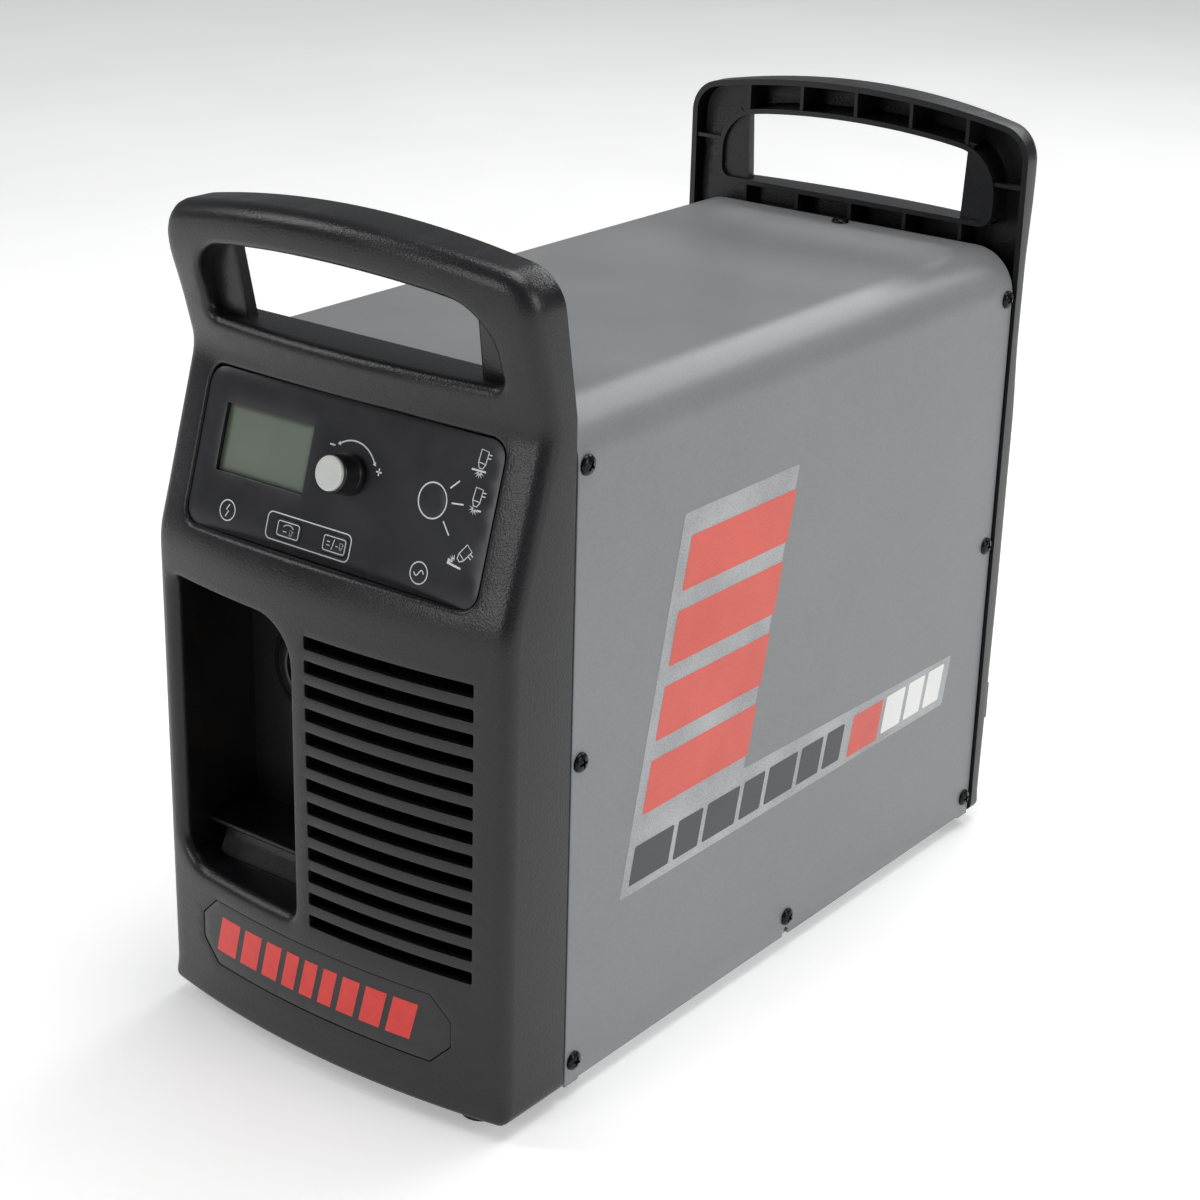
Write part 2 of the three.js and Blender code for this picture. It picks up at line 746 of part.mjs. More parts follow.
const TORCH = { drop: 58.5, flange: 28, barrel: 22, bore: 17.5, proud: 3, reach: 36 };
const WORK_LEAD = { rise: 40, flange: 14, barrel: 11, bore: 6, proud: 4, reach: 26 };
const SOCKET_NUT = 5;
const SOCKET_END = 6; // closed end of a socket's bore
const CORE = { radius: 12, seat: 6, pins: 6, pinCircle: 7, pinRadius: 1.4, pinLength: 5 };

const torch = { ...TORCH, x: pocketMiddle, z: openingTopZ - TORCH.drop };
const workLead = { ...WORK_LEAD, x: pocketMiddle, z: openingFootZ + WORK_LEAD.rise };

function connectorTray() {
  const frontY = frontFaceY + WALL + CLEARANCE;
  const outer = alongY(pocketOutline(TRAY_WALL), frontY, trayRearY + TRAY_WALL);
  const room = alongY(pocketOutline(0), frontY - 1, trayRearY);
  const shelfTop = openingFootZ + SHELF_RISE;
  const shelf = alongX(
    rounded([
      [trayRearY + 1, openingFootZ - 1, 0],
      [trayRearY + 1, shelfTop, 0],
      [trayRearY - SHELF_DEPTH, shelfTop - SHELF_SLOPE, 2],
      [trayRearY - SHELF_DEPTH, shelfTop - SHELF_SLOPE - SHELF_EDGE, 0],
      [frontY + SHELF_RUN, openingFootZ + SHELF_LIP, 0],
      [frontY, openingFootZ - 1, 0],
    ]),
    pocketLeft - 1,
    -POST_LEFT + 1,
  );
  const box = cut(outer, cut(room, common(shelf, outer)));
  const behindFace = cut(
    block(-WIDTH, WIDTH, -DEPTH, trayRearY, 0, HEIGHT),
    bowedBlock(FRONT, WALL + CLEARANCE, frontRimY + 40),
  );
  return cut(
    box,
    behindFace,
    alongY(disc(torch.barrel + CLEARANCE, torch.x, torch.z), trayRearY - 1, trayRearY + 9),
    alongY(disc(workLead.barrel + CLEARANCE, workLead.x, workLead.z), trayRearY - 1, trayRearY + 9),
  );
}

// A round socket in the tray's rear wall: a flange in the pocket, a barrel behind it, a blind bore.
function socket({ x, z, flange, barrel, bore, proud, reach }) {
  const seat = trayRearY - CLEARANCE;
  const nutY = trayRearY + TRAY_WALL + CLEARANCE;
  const body = join(
    alongY(disc(flange, x, z), seat - proud, seat),
    alongY(disc(barrel, x, z), seat - 0.5, trayRearY + reach),
    alongY(disc(flange - 1, x, z), nutY, nutY + SOCKET_NUT),
  );
  return cut(body, alongY(disc(bore, x, z), seat - proud - 1, trayRearY + reach - SOCKET_END));
}

function receptacleCore() {
  const { x, z, reach } = torch;
  const seat = trayRearY + CORE.seat;
  const face = alongY(disc(CORE.radius, x, z), seat, trayRearY + reach - SOCKET_END - CLEARANCE);
  const pins = [];
  for (let k = 0; k < CORE.pins; k += 1) {
    const angle = (k * 2 * Math.PI) / CORE.pins;
    const px = x + CORE.pinCircle * Math.cos(angle);
    const pz = z + CORE.pinCircle * Math.sin(angle);
    pins.push(alongY(disc(CORE.pinRadius, px, pz), seat - CORE.pinLength, seat + 1, 4));
  }
  return join(face, ...pins);
}

// ---------------------------------------------------------------- rear bezel and what it carries

const ALCOVE = { left: 13, width: 82, foot: 17, height: 144, depth: 38, wall: 3 };
const alcoveLeft = -HALF_WIDTH + ALCOVE.left;
const alcoveRight = alcoveLeft + ALCOVE.width;
const FAN = { side: 13, drop: 185, size: 120, depth: 38, bore: 57, hub: 20, corner: 6 };
const FAN_SLOTS = { count: 10, pitch: 11, half: 3, corner: 1.5 };
const REAR_RECESS = { foot: 13, top: 14, corner: 8 };
const SWITCH = { side: 40, drop: 147, plate: 24, body: 20, depth: 46, collar: 10.5, hole: 11, corner: 3 };
const HANDLE = { disc: 19, seat: 4, halfWidth: 5, halfHeight: 16, reach: 17, shaft: 4, corner: 4 };
const PORT = { rise: 96, flange: 17, cap: 14, plug: 12.5, hole: 13, seat: 3, reach: 7 };
const SERIAL = { rise: 53, corner: 2, reach: 2.5, plate: [20, 9], plug: [14.5, 4.5], hole: [15, 5] };
const fanX = HALF_WIDTH - FAN.side - FAN.size / 2;
const fanZ = HEIGHT - FAN.drop;
const alcoveFootZ = FOOT_HEIGHT + ALCOVE.foot;
const alcoveTopZ = alcoveFootZ + ALCOVE.height;
const alcoveRearY = rearPanelY - ALCOVE.depth;
const controlX = -HALF_WIDTH + SWITCH.side;
const switchZ = HEIGHT - SWITCH.drop;
const portZ = FOOT_HEIGHT + PORT.rise;
const serialZ = FOOT_HEIGHT + SERIAL.rise;
const glandX = HALF_WIDTH - GLAND.side;
const portX = (alcoveRight + glandX - GLAND.hexRadius) / 2;

const rearOutline = (grow) =>
  rounded(
    box2(
      -HALF_WIDTH + REAR_FRAME - grow,
      HALF_WIDTH - REAR_FRAME + grow,
      FOOT_HEIGHT + REAR_RECESS.foot - grow,
      tongueTopZ - REAR_RECESS.top + grow,
      REAR_RECESS.corner + grow,
    ),
  );

function fanSlots() {
  const { count, pitch, half, corner } = FAN_SLOTS;
  const slots = [];
  for (let k = 0; k < count; k += 1) {
    const rise = (k - (count - 1) / 2) * pitch;
    const z = fanZ + rise;
    const reach = Math.sqrt(FAN.bore ** 2 - (Math.abs(rise) + half) ** 2);
    const shape = rounded(box2(fanX - reach, fanX + reach, z - half, z + half, corner), 1);
    slots.push(alongY(shape, rearPanelY - WALL - 1, rearPanelY + 1));
  }
  return slots;
}

const serialOutline = ([dx, dz], corner) =>
  rounded(box2(portX - dx, portX + dx, serialZ - dz, serialZ + dz, corner), 2);

function rearBezel() {
  const seat = common(
    alongY(rearOutline(WALL), rearPanelY - WALL, DEPTH),
    bowedBlock(REAR, 0, rearRimY),
  );
  const alcoveOuter = block(
    alcoveLeft - ALCOVE.wall,
    alcoveRight + ALCOVE.wall,
    alcoveRearY - ALCOVE.wall,
    rearPanelY - 1,
    alcoveFootZ - ALCOVE.wall,
    alcoveTopZ + ALCOVE.wall,
  );
  const alcoveRoom = block(
    alcoveLeft,
    alcoveRight,
    alcoveRearY,
    rearPanelY + 1,
    alcoveFootZ,
    alcoveTopZ,
  );
  const through = [rearPanelY - WALL - 1, rearPanelY + 1];
  return cut(
    join(mouldedEnd(REAR), seat, alcoveOuter),
    alongY(rearOutline(0), rearPanelY, DEPTH),
    alcoveRoom,
    ...fanSlots(),
    alongY(disc(SWITCH.hole, controlX, switchZ), ...through),
    alongY(disc(PORT.hole, portX, portZ), ...through),
    alongY(serialOutline(SERIAL.hole, 0), ...through),
    alongY(disc(GLAND.barrel + CLEARANCE, glandX, GLAND.height), ...through),
  );
}

const onRear = rearPanelY + CLEARANCE;
const underRear = rearPanelY - WALL - CLEARANCE;
const switchPlate = 6;
const knobSeatY = onRear + switchPlate + CLEARANCE;
const shaftEndY = onRear - 5;

function powerSwitchBody() {
  const { plate, body, depth, collar, corner } = SWITCH;
  const square = (half) =>
    rounded(box2(controlX - half, controlX + half, switchZ - half, switchZ + half, corner), 2);
  const bore = disc(HANDLE.shaft + SHAFT_CLEARANCE, controlX, switchZ);
  return cut(
    join(
      alongY(square(plate), onRear, onRear + switchPlate),
      alongY(disc(collar, controlX, switchZ), underRear - 1, onRear + 1),
      alongY(square(body), underRear - depth, underRear),
    ),
    alongY(bore, shaftEndY - 1, onRear + 20, 8),
  );
}

function powerSwitchKnob() {
  const { halfWidth, halfHeight, corner, seat, reach, shaft } = HANDLE;
  const grip = rounded(
    box2(
      controlX - halfWidth,
      controlX + halfWidth,
      switchZ - halfHeight,
      switchZ + halfHeight,
      corner,
    ),
    3,
  );
  return join(
    alongY(disc(HANDLE.disc, controlX, switchZ), knobSeatY, knobSeatY + seat),
    alongY(grip, knobSeatY + seat - 1, knobSeatY + reach),
    alongY(disc(shaft, controlX, switchZ), shaftEndY, knobSeatY + 1, 8),
  );
}

function interfacePortCover() {
  return join(
    alongY(disc(PORT.flange, portX, portZ), onRear, onRear + PORT.seat),
    alongY(disc(PORT.cap, portX, portZ), onRear + PORT.seat - 1, onRear + PORT.reach),
    alongY(disc(PORT.plug, portX, portZ), underRear, onRear + 1),
  );
}

function serialPortCover() {
  const { plate, plug, corner, reach } = SERIAL;
  return join(
    alongY(serialOutline(plate, corner), onRear, onRear + reach),
    alongY(serialOutline(plug, corner), underRear, onRear + 1),
  );
}

const glandFlange = 6;
const glandLocknut = 8;
const glandTip = 6;

function cordGlandBody() {
  const { height, hexRadius, barrel, bore } = GLAND;
  return cut(
    join(
      alongY(hexagon(hexRadius, glandX, height), onRear, onRear + glandFlange),
      alongY(disc(barrel, glandX, height), underRear - glandLocknut - 6, onRear + glandFlange),
      alongY(hexagon(hexRadius - 3, glandX, height), underRear - glandLocknut, underRear),
    ),
    alongY(disc(bore, glandX, height), underRear - 20, onRear + 20),
  );
}

function cordGlandNut() {
  const { height, hexRadius, barrel, bore } = GLAND;
  const foot = onRear + glandFlange + CLEARANCE;
  const tip = DEPTH / 2;
  return cut(
    join(
      alongY(hexagon(hexRadius, glandX, height), foot, tip - glandTip),
      alongY(disc(barrel + 2, glandX, height), tip - glandTip - 1, tip),
    ),
    alongY(disc(bore, glandX, height), foot - 1, tip + 1),
  );
}

const FILTER = { setback: 25, half: 23, forward: 20, headroom: 12, head: 34, cap: 14, capRise: 8 };
const BOWL = { radius: 20, wall: 2.5, length: 72, waist: 50, element: 11, elementLength: 45 };
const INLET = { hex: 11, hexLength: 9, neck: 7.5, tip: 6, bore: 3.5, length: 19 };
const filterX = (alcoveLeft + alcoveRight) / 2;
const filterY = alcoveRearY + FILTER.setback;
const headTopZ = alcoveTopZ - FILTER.headroom;
const headFootZ = headTopZ - FILTER.head;

function filterHead() {
  const body = block(
    filterX - FILTER.half,
    filterX + FILTER.half,
    alcoveRearY + CLEARANCE,
    filterY + FILTER.forward,
    headFootZ,
    headTopZ,
  );
  const cap = alongZ(disc(FILTER.cap, filterX, filterY), headTopZ - 1, headTopZ + FILTER.capRise);
  return join(body, cap);
}

function filterBowl() {
  const top = headFootZ - CLEARANCE;
  const { radius, wall, length, waist } = BOWL;
  const bowl = turned([
    [0, top - length],
    [10, top - length],
    [radius - 3, top - length + 8],
    [radius, top - waist],
    [radius, top],
    [radius - wall, top],
    [radius - wall, top - waist],
    [radius - 2 * wall, top - length + 10],
    [9, top - length + 3],
    [0, top - length + 3],
  ]);
  return bowl.translate([filterX, filterY, 0]);
}

function filterElement() {
  const top = headFootZ - CLEARANCE;
  return alongZ(disc(BOWL.element, filterX, filterY), top - BOWL.elementLength, top);
}

function airInletFitting() {
  const { hex, hexLength, neck, tip, bore, length } = INLET;
  const face = filterY + FILTER.forward + CLEARANCE;
  const z = (headFootZ + headTopZ) / 2;
  return cut(
    join(
      alongY(hexagon(hex, filterX, z), face, face + hexLength),
      alongY(disc(neck, filterX, z), face + hexLength - 1, face + hexLength + 6),
      alongY(disc(tip, filterX, z), face + hexLength + 5, face + length),
    ),
    alongY(disc(bore, filterX, z), face + 2, face + length + 1),
  );
}

// ---------------------------------------------------------------- cover, tray, feet, screws

const coverFootZ = FOOT_HEIGHT + 0.2;
const screwLowZ = coverFootZ + SCREW_LOW;
const screwHighZ = coverTopZ - SCREW_HIGH_DROP;
const screwMiddleZ = (screwLowZ + screwHighZ) / 2 + 8;
const middleScrewY = 9;
const NOTCH = { half: 3, corner: 2.9, drop: 7 };
const screwFrontY = coverFrontY + SCREW_EDGE_DISTANCE;
const screwRearY = coverRearY - SCREW_EDGE_DISTANCE;

function sideScrews() {
  const heights = { low: screwLowZ, middle: screwMiddleZ, high: screwHighZ };
  const places = [];
  Object.entries(heights).forEach(([level, z]) => {
    places.push({ name: `front_${level}`, y: screwFrontY, z });
    places.push({ name: `rear_${level}`, y: screwRearY, z });
  });
  places.push({ name: "centre_low", y: middleScrewY, z: screwLowZ });
  return places;
}

function coverScrewHoles() {
  const sides = sideScrews().map(({ y, z }) =>
    alongX(disc(SCREW_HOLE_RADIUS, y, z), -WIDTH, WIDTH, 5),
  );
  const top = alongZ(
    disc(SCREW_HOLE_RADIUS, 0, screwRearY - 1),
    coverTopZ - 40,
    coverTopZ + COVER_SHEET,
    5,
  );
  return [...sides, top];
}

function enclosureCover() {
  const far = [coverFrontY, coverRearY];
  const footZ = coverFootZ - COVER_TAB;
  const sheet = cut(
    alongY(coverOutline(0, footZ), ...far),
    alongY(coverOutline(COVER_SHEET, footZ - 1), far[0] - 1, far[1] + 1),
  );
  const betweenTabs = block(
    -WIDTH,
    WIDTH,
    coverFrontY + COVER_TAB_LENGTH,
    coverRearY - COVER_TAB_LENGTH,
    0,
    coverFootZ,
  );
  const { half, corner, drop } = NOTCH;
  const notch = alongX(
    rounded(box2(middleScrewY - half, middleScrewY + half, 0, screwLowZ - drop, corner), 3),
    -WIDTH,
    WIDTH,
  );
  return cut(sheet, betweenTabs, notch, ...coverScrewHoles());
}

function basePan() {
  const outer = tongueHalfWidth;
  const inner = outer - COVER_SHEET;
  const footZ = FOOT_HEIGHT + CLEARANCE;
  const floor = block(-outer, outer, panFrontY, panRearY, footZ, panTopZ);
  const sides = [-1, 1].map((side) => {
    const xs = [side * outer, side * inner].sort((a, b) => a - b);
    return block(...xs, panFrontY, panRearY, footZ, screwLowZ + 12);
  });
  return cut(join(floor, ...sides), ...coverScrewHoles());
}

function coverScrew() {
  return turned(
    [
      [0, -SCREW_SHANK_LENGTH],
      [SCREW_SHANK_RADIUS, -SCREW_SHANK_LENGTH],
      [SCREW_SHANK_RADIUS, CLEARANCE],
      [SCREW_HEAD_RADIUS, CLEARANCE],
      [SCREW_HEAD_RADIUS - 0.4, 1.6],
      [SCREW_HEAD_RADIUS - 2.2, SCREW_HEAD_HEIGHT],
      [0, SCREW_HEAD_HEIGHT],
    ],
    10,
  );
}

function foot(x, y) {
  const top = FOOT_HEIGHT - CLEARANCE;
  return turned(
    [
      [0, 0],
      [FOOT_RADIUS - 2, 0],
      [FOOT_RADIUS - 1, 1],
      [FOOT_RADIUS, top],
      [0, top],
    ],
    16,
  ).translate([x, y, 0]);
}

// ---------------------------------------------------------------- inside

const fanFrontY = underRear - 2 - FAN.depth;
const partitionX = torch.x + torch.flange + 2;
const partitionRearY = fanFrontY - 6;
const PARTITION = { length: 262, drop: 60 };
const BLADES = { count: 7, thickness: 1.8, twist: 0.6 };
const SPIDER = { half: 2, depth: 4, hubDepth: 5 };
const HEATSINK = { length: 150, foot: 118, base: 9, fins: 9, pitch: 17, reach: 62, fin: 3 };
const MODULES = { count: 3, pitch: 46, rise: 8, depth: 12, inset: 12, length: 32, height: 28 };
const POWER_BOARD = { gap: 2, beyond: 20, behind: 9, rise: 12, top: 278 };
const CAPACITOR = { radius: 17.5, length: 46, z: 246, front: 98, rear: 58 };
const TRANSFORMER = { x0: -12, behind: 128, width: 92, depth: 44, height: 84, leg: 22 };
const WINDING_GAP = 0.6;
const INDUCTOR = { x: 36, y: 62, radius: 21, wire: 14, middle: 33, facets: 8 };
const VALVE = { side: 35, behind: 96, halfWidth: 16, halfLength: 24, block: 30, coil: 13, top: 66 };
const partitionFrontY = partitionRearY - PARTITION.length;

function fanFrame() {
  const half = FAN.size / 2;
  const outer = alongY(
    rounded(box2(fanX - half, fanX + half, fanZ - half, fanZ + half, FAN.corner)),
    fanFrontY,
    fanFrontY + FAN.depth,
  );
  const bore = alongY(disc(FAN.bore, fanX, fanZ), fanFrontY - 1, fanFrontY + FAN.depth + 1);
  const ys = [fanFrontY, fanFrontY + SPIDER.depth];
  const reach = half - 1;
  const spider = join(
    alongY(disc(FAN.hub, fanX, fanZ), fanFrontY, fanFrontY + SPIDER.hubDepth),
    block(fanX - reach, fanX + reach, ...ys, fanZ - SPIDER.half, fanZ + SPIDER.half),
    block(fanX - SPIDER.half, fanX + SPIDER.half, ...ys, fanZ - reach, fanZ + reach),
  );
  return join(cut(outer, bore), spider);
}

function fanRotor() {
  const foot = fanFrontY + 6;
  const top = fanFrontY + FAN.depth - 3;
  const blades = [];
  const { count, thickness, twist } = BLADES;
  for (let k = 0; k < count; k += 1) {
    const blade = new THREE.BoxGeometry(thickness, top - foot + 2, FAN.bore - FAN.hub - 1);
    blade.rotateZ(twist);
    blade.translate(0, 0, (FAN.bore + FAN.hub) / 2 - 1.5);
    blade.rotateY((k * Math.PI * 2) / count);
    blade.translate(fanX, (foot + top) / 2, fanZ);
    blades.push(solidOf(blade));
  }
  const hub = alongY(disc(FAN.hub, fanX, fanZ), foot, top);
  const sweep = alongY(disc(FAN.bore - 1.5, fanX, fanZ), foot, top);
  return common(join(hub, ...blades), sweep);
}

const partition = () =>
  block(
    partitionX,
    partitionX + COVER_SHEET,
    partitionFrontY,
    partitionRearY,
    floorZ,
    tongueTopZ - PARTITION.drop,
  );

function heatsink() {
  const x0 = partitionX + COVER_SHEET + CLEARANCE;
  const x1 = x0 + HEATSINK.base;
  const ys = [partitionRearY - HEATSINK.length, partitionRearY];
  const top = HEATSINK.foot + (HEATSINK.fins - 1) * HEATSINK.pitch + HEATSINK.fin;
  const fins = [];
  for (let k = 0; k < HEATSINK.fins; k += 1) {
    const z = HEATSINK.foot + k * HEATSINK.pitch;
    fins.push(block(x1 - 1, x1 + HEATSINK.reach, ...ys, z, z + HEATSINK.fin));
  }
  return join(block(x0, x1, ...ys, HEATSINK.foot, top), ...fins);
}

const boardX = partitionX - POWER_BOARD.gap - BOARD_SHEET;

function powerBoard() {
  const y0 = partitionRearY - HEATSINK.length - POWER_BOARD.beyond;
  const y1 = alcoveRearY - ALCOVE.wall - POWER_BOARD.behind;
  const x1 = boardX + BOARD_SHEET;
  const board = block(boardX, x1, y0, y1, floorZ + POWER_BOARD.rise, POWER_BOARD.top);
  const modules = [];
  for (let k = 0; k < MODULES.count; k += 1) {
    const z = HEATSINK.foot + MODULES.rise + k * MODULES.pitch;
    const ys = [y0 + MODULES.inset, y0 + MODULES.inset + MODULES.length];
    modules.push(block(boardX - MODULES.depth, boardX + 0.5, ...ys, z, z + MODULES.height));
  }
  return join(board, ...modules);
}

function capacitor(behind) {
  const { radius, length, z } = CAPACITOR;
  const seat = boardX - CLEARANCE;
  return alongX(disc(radius, partitionRearY - behind, z), seat - length, seat);
}

const transformerFrontY = partitionRearY - TRANSFORMER.behind;
const yoke = TRANSFORMER.leg * 0.7;

function transformerCore() {
  const { x0, width, depth, height, leg } = TRANSFORMER;
  const y0 = transformerFrontY;
  const opening = (width - 3 * leg) / 2;
  const outer = block(x0, x0 + width, y0, y0 + depth, floorZ, floorZ + height);
  const window = (left) =>
    block(
      left,
      left + opening,
      y0 - 1,
      y0 + depth + 1,
      floorZ + yoke,
      floorZ + height - yoke,
    );
  const first = x0 + leg;
  return cut(outer, window(first), window(first + opening + leg));
}

function transformerWinding() {
  const { x0, width, depth, height, leg } = TRANSFORMER;
  const middle = x0 + width / 2;
  const reach = (width - 3 * leg) / 2 - WINDING_GAP;
  const z0 = floorZ + yoke + WINDING_GAP;
  const z1 = floorZ + height - yoke - WINDING_GAP;
  const loop = (beyond, corner) =>
    rounded(
      box2(
        middle - leg / 2 - beyond,
        middle + leg / 2 + beyond,
        transformerFrontY - beyond,
        transformerFrontY + depth + beyond,
        corner,
      ),
    );
  return cut(alongZ(loop(reach, 6), z0, z1), alongZ(loop(WINDING_GAP, 0), z0 - 1, z1 + 1));
}

function outputInductor() {
  const { x, y, radius, wire, middle, facets } = INDUCTOR;
  const profile = [];
  for (let k = 0; k <= facets; k += 1) {
    const angle = (k * Math.PI * 2) / facets;
    profile.push([middle + wire * Math.cos(angle), radius + wire * Math.sin(angle)]);
  }
  const ring = turned(profile, 20);
  const foot = floorZ + 1 - (radius - wire);
  return ring.translate([x, partitionFrontY + y, foot]);
}

function gasValve() {
  const { side, behind, halfWidth, halfLength, coil, top } = VALVE;
  const y = alcoveRearY - behind;
  const x = -HALF_WIDTH + side;
  const ys = [y - halfLength, y + halfLength];
  return join(
    block(x - halfWidth, x + halfWidth, ...ys, floorZ, floorZ + VALVE.block),
    alongZ(disc(coil, x, y), floorZ + VALVE.block - 1, floorZ + top),
  );
}

// ---------------------------------------------------------------- finishes and assembly

const finish = (color, roughness, metalness = 0) => ({ color, roughness, metalness });
const BLACK_PLASTIC = finish(0x2e2d2f, 0.55);
const GREY_PAINT = finish(0x7b7d7f, 0.45);
const OVERLAY = finish(0x2f2e35, 0.4);
const LCD_GREEN = finish(0x6b756a, 0.25);
const BLACK_STEEL = finish(0x17171a, 0.25, 0.9);
const RUBBER = finish(0x161616, 0.9);
const GALVANISED = finish(0xa7abae, 0.4, 0.8);
const ALUMINIUM = finish(0xb4b8bb, 0.35, 0.9);
const BRASS = finish(0xb08d45, 0.3, 0.95);
const BOARD = finish(0x1f5a3a, 0.6);
const COPPER = finish(0xa65f33, 0.4, 0.7);
const FERRITE = finish(0x3a3a3c, 0.7);
const CLEAR_BOWL = finish(0x9fb0b5, 0.2);

const plasmaCutter = new THREE.Group();
plasmaCutter.name = "plasma_cutter";

function add(name, solid, look) {
  const material = new THREE.MeshStandardMaterial({ ...look });
  material.name = name;
  const mesh = new THREE.Mesh(geometryOf(solid), material);
  mesh.name = name;
  plasmaCutter.add(mesh);
  return mesh;
}

function addFeet() {
  const x = HALF_WIDTH - FOOT_SIDE_INSET;
  const frontY = -DEPTH / 2 + FOOT_END_INSET;
  const rearY = panRearY - FOOT_RADIUS - 2;
  add("foot_front_left", foot(-x, frontY), RUBBER);
  add("foot_front_right", foot(x, frontY), RUBBER);
  add("foot_rear_left", foot(-x, rearY), RUBBER);
  add("foot_rear_right", foot(x, rearY), RUBBER);
}

function addScrews() {
  const sides = { left: -1, right: 1 };
  Object.entries(sides).forEach(([sideName, side]) => {
    sideScrews().forEach(({ name, y, z }) => {
      const screw = add(`cover_screw_${sideName}_${name}`, coverScrew(), BLACK_STEEL);
      screw.rotation.y = (side * Math.PI) / 2;
      screw.position.set(side * coverHalfWidth, y, z);
    });
  });
  const top = add("cover_screw_top", coverScrew(), BLACK_STEEL);
  top.position.set(0, screwRearY - 1, coverTopZ);
}

add("front_bezel", frontBezel(), BLACK_PLASTIC);
add("rear_bezel", rearBezel(), BLACK_PLASTIC);
add("enclosure_cover", enclosureCover(), GREY_PAINT);
add("base_pan", basePan(), GALVANISED);
addFeet();
add("front_badge", frontBadge(), BLACK_PLASTIC);
add("connector_tray", connectorTray(), BLACK_PLASTIC);
add("torch_receptacle", socket(torch), BLACK_PLASTIC);
add("receptacle_core", receptacleCore(), BRASS);
add("work_lead_socket", socket(workLead), BRASS);

add("control_overlay", operatorPanel(), OVERLAY);
add("display_window", displayWindow(), LCD_GREEN);
add("display_module", displayModule(), LCD_GREEN);
add("adjustment_knob", adjustmentKnob(), BLACK_PLASTIC);
add("knob_cap", knobCap(), finish(0xcfd0cd, 0.45));
add("encoder_shaft", encoderShaft(), ALUMINIUM);
add("encoder_body", encoderBody(), ALUMINIUM);
add("mode_button", modeButton(), OVERLAY);
Object.entries(keyXs).forEach(([name, x]) => add(name, squareButton(x), OVERLAY));
add("control_board", controlBoard(), BOARD);

add("power_switch_body", powerSwitchBody(), BLACK_PLASTIC);
add("power_switch_knob", powerSwitchKnob(), finish(0xb3261e, 0.45));
add("interface_port_cover", interfacePortCover(), BLACK_PLASTIC);
add("serial_port_cover", serialPortCover(), BLACK_PLASTIC);
add("cord_gland_body", cordGlandBody(), BLACK_PLASTIC);
add("cord_gland_nut", cordGlandNut(), BLACK_PLASTIC);
add("filter_head", filterHead(), ALUMINIUM);
add("filter_bowl", filterBowl(), CLEAR_BOWL);
add("filter_element", filterElement(), finish(0xe4e2d8, 0.8));
add("air_inlet_fitting", airInletFitting(), BRASS);

add("fan_frame", fanFrame(), BLACK_PLASTIC);
add("fan_rotor", fanRotor(), BLACK_PLASTIC);
add("centre_panel", partition(), GALVANISED);
add("heatsink", heatsink(), ALUMINIUM);
add("power_board", powerBoard(), BOARD);
add("capacitor_front", capacitor(CAPACITOR.front), BLACK_PLASTIC);
add("capacitor_rear", capacitor(CAPACITOR.rear), BLACK_PLASTIC);
add("transformer_core", transformerCore(), FERRITE);
add("transformer_winding", transformerWinding(), COPPER);
add("output_inductor", outputInductor(), COPPER);
add("gas_valve", gasValve(), BRASS);
addScrews();

export default plasmaCutter;
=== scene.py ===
# A portable plasma cutting power supply: two moulded ends with carrying handles, a powder-coated
# sheet cover, an operator panel, a connector pocket and what stands on its rear panel.
# Sizes are in millimetres and become metres where a mesh is made.
import math
import random

import bmesh
import bpy
import numpy as np
from mathutils import Matrix, Vector
from mathutils.geometry import delaunay_2d_cdt


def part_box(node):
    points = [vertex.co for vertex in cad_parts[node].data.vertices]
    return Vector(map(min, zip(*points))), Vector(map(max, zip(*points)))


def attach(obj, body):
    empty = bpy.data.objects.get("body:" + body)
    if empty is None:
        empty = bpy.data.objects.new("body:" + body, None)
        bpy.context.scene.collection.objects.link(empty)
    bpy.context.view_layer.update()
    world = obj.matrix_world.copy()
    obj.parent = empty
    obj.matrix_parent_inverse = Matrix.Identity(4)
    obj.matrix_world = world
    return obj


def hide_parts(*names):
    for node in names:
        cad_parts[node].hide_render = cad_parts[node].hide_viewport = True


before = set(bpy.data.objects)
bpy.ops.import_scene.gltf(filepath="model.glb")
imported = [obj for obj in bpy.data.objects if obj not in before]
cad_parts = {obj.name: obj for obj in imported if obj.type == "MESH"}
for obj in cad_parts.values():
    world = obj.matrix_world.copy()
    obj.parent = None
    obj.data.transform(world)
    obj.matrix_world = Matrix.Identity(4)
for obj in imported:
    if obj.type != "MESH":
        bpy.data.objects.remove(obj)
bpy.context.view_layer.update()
MM = 0.001

# ---- camera and room -----------------------------------------------------------------------
# The camera stands to the right of the front and above it, on a 75 mm lens. The room is a pale
# floor under large soft lights, with a narrow bright one for the glints on the black mouldings.

CAMERA_PLACE = (777.33, -1051.56, 711.62)
CAMERA_TURN = math.radians(37.53)
CAMERA_DIP = math.radians(22.02)
CAMERA_ROLL = math.radians(1.35)

camera = bpy.data.objects.new("camera", bpy.data.cameras.new("camera"))
bpy.context.scene.collection.objects.link(camera)
camera.data.lens = 74.78
camera.data.sensor_width = 36.0
camera.data.shift_x = 0.01648
camera.data.shift_y = 0.0044
camera.data.clip_start = 0.05
camera.data.clip_end = 50.0
aim = Matrix.Rotation(CAMERA_TURN, 4, "Z") @ Matrix.Rotation(math.pi / 2 - CAMERA_DIP, 4, "X")
aim = aim @ Matrix.Rotation(CAMERA_ROLL, 4, "Z")
camera.matrix_world = Matrix.Translation(Vector(CAMERA_PLACE) * MM) @ aim
bpy.context.scene.camera = camera
bpy.context.scene.view_settings.view_transform = "Standard"


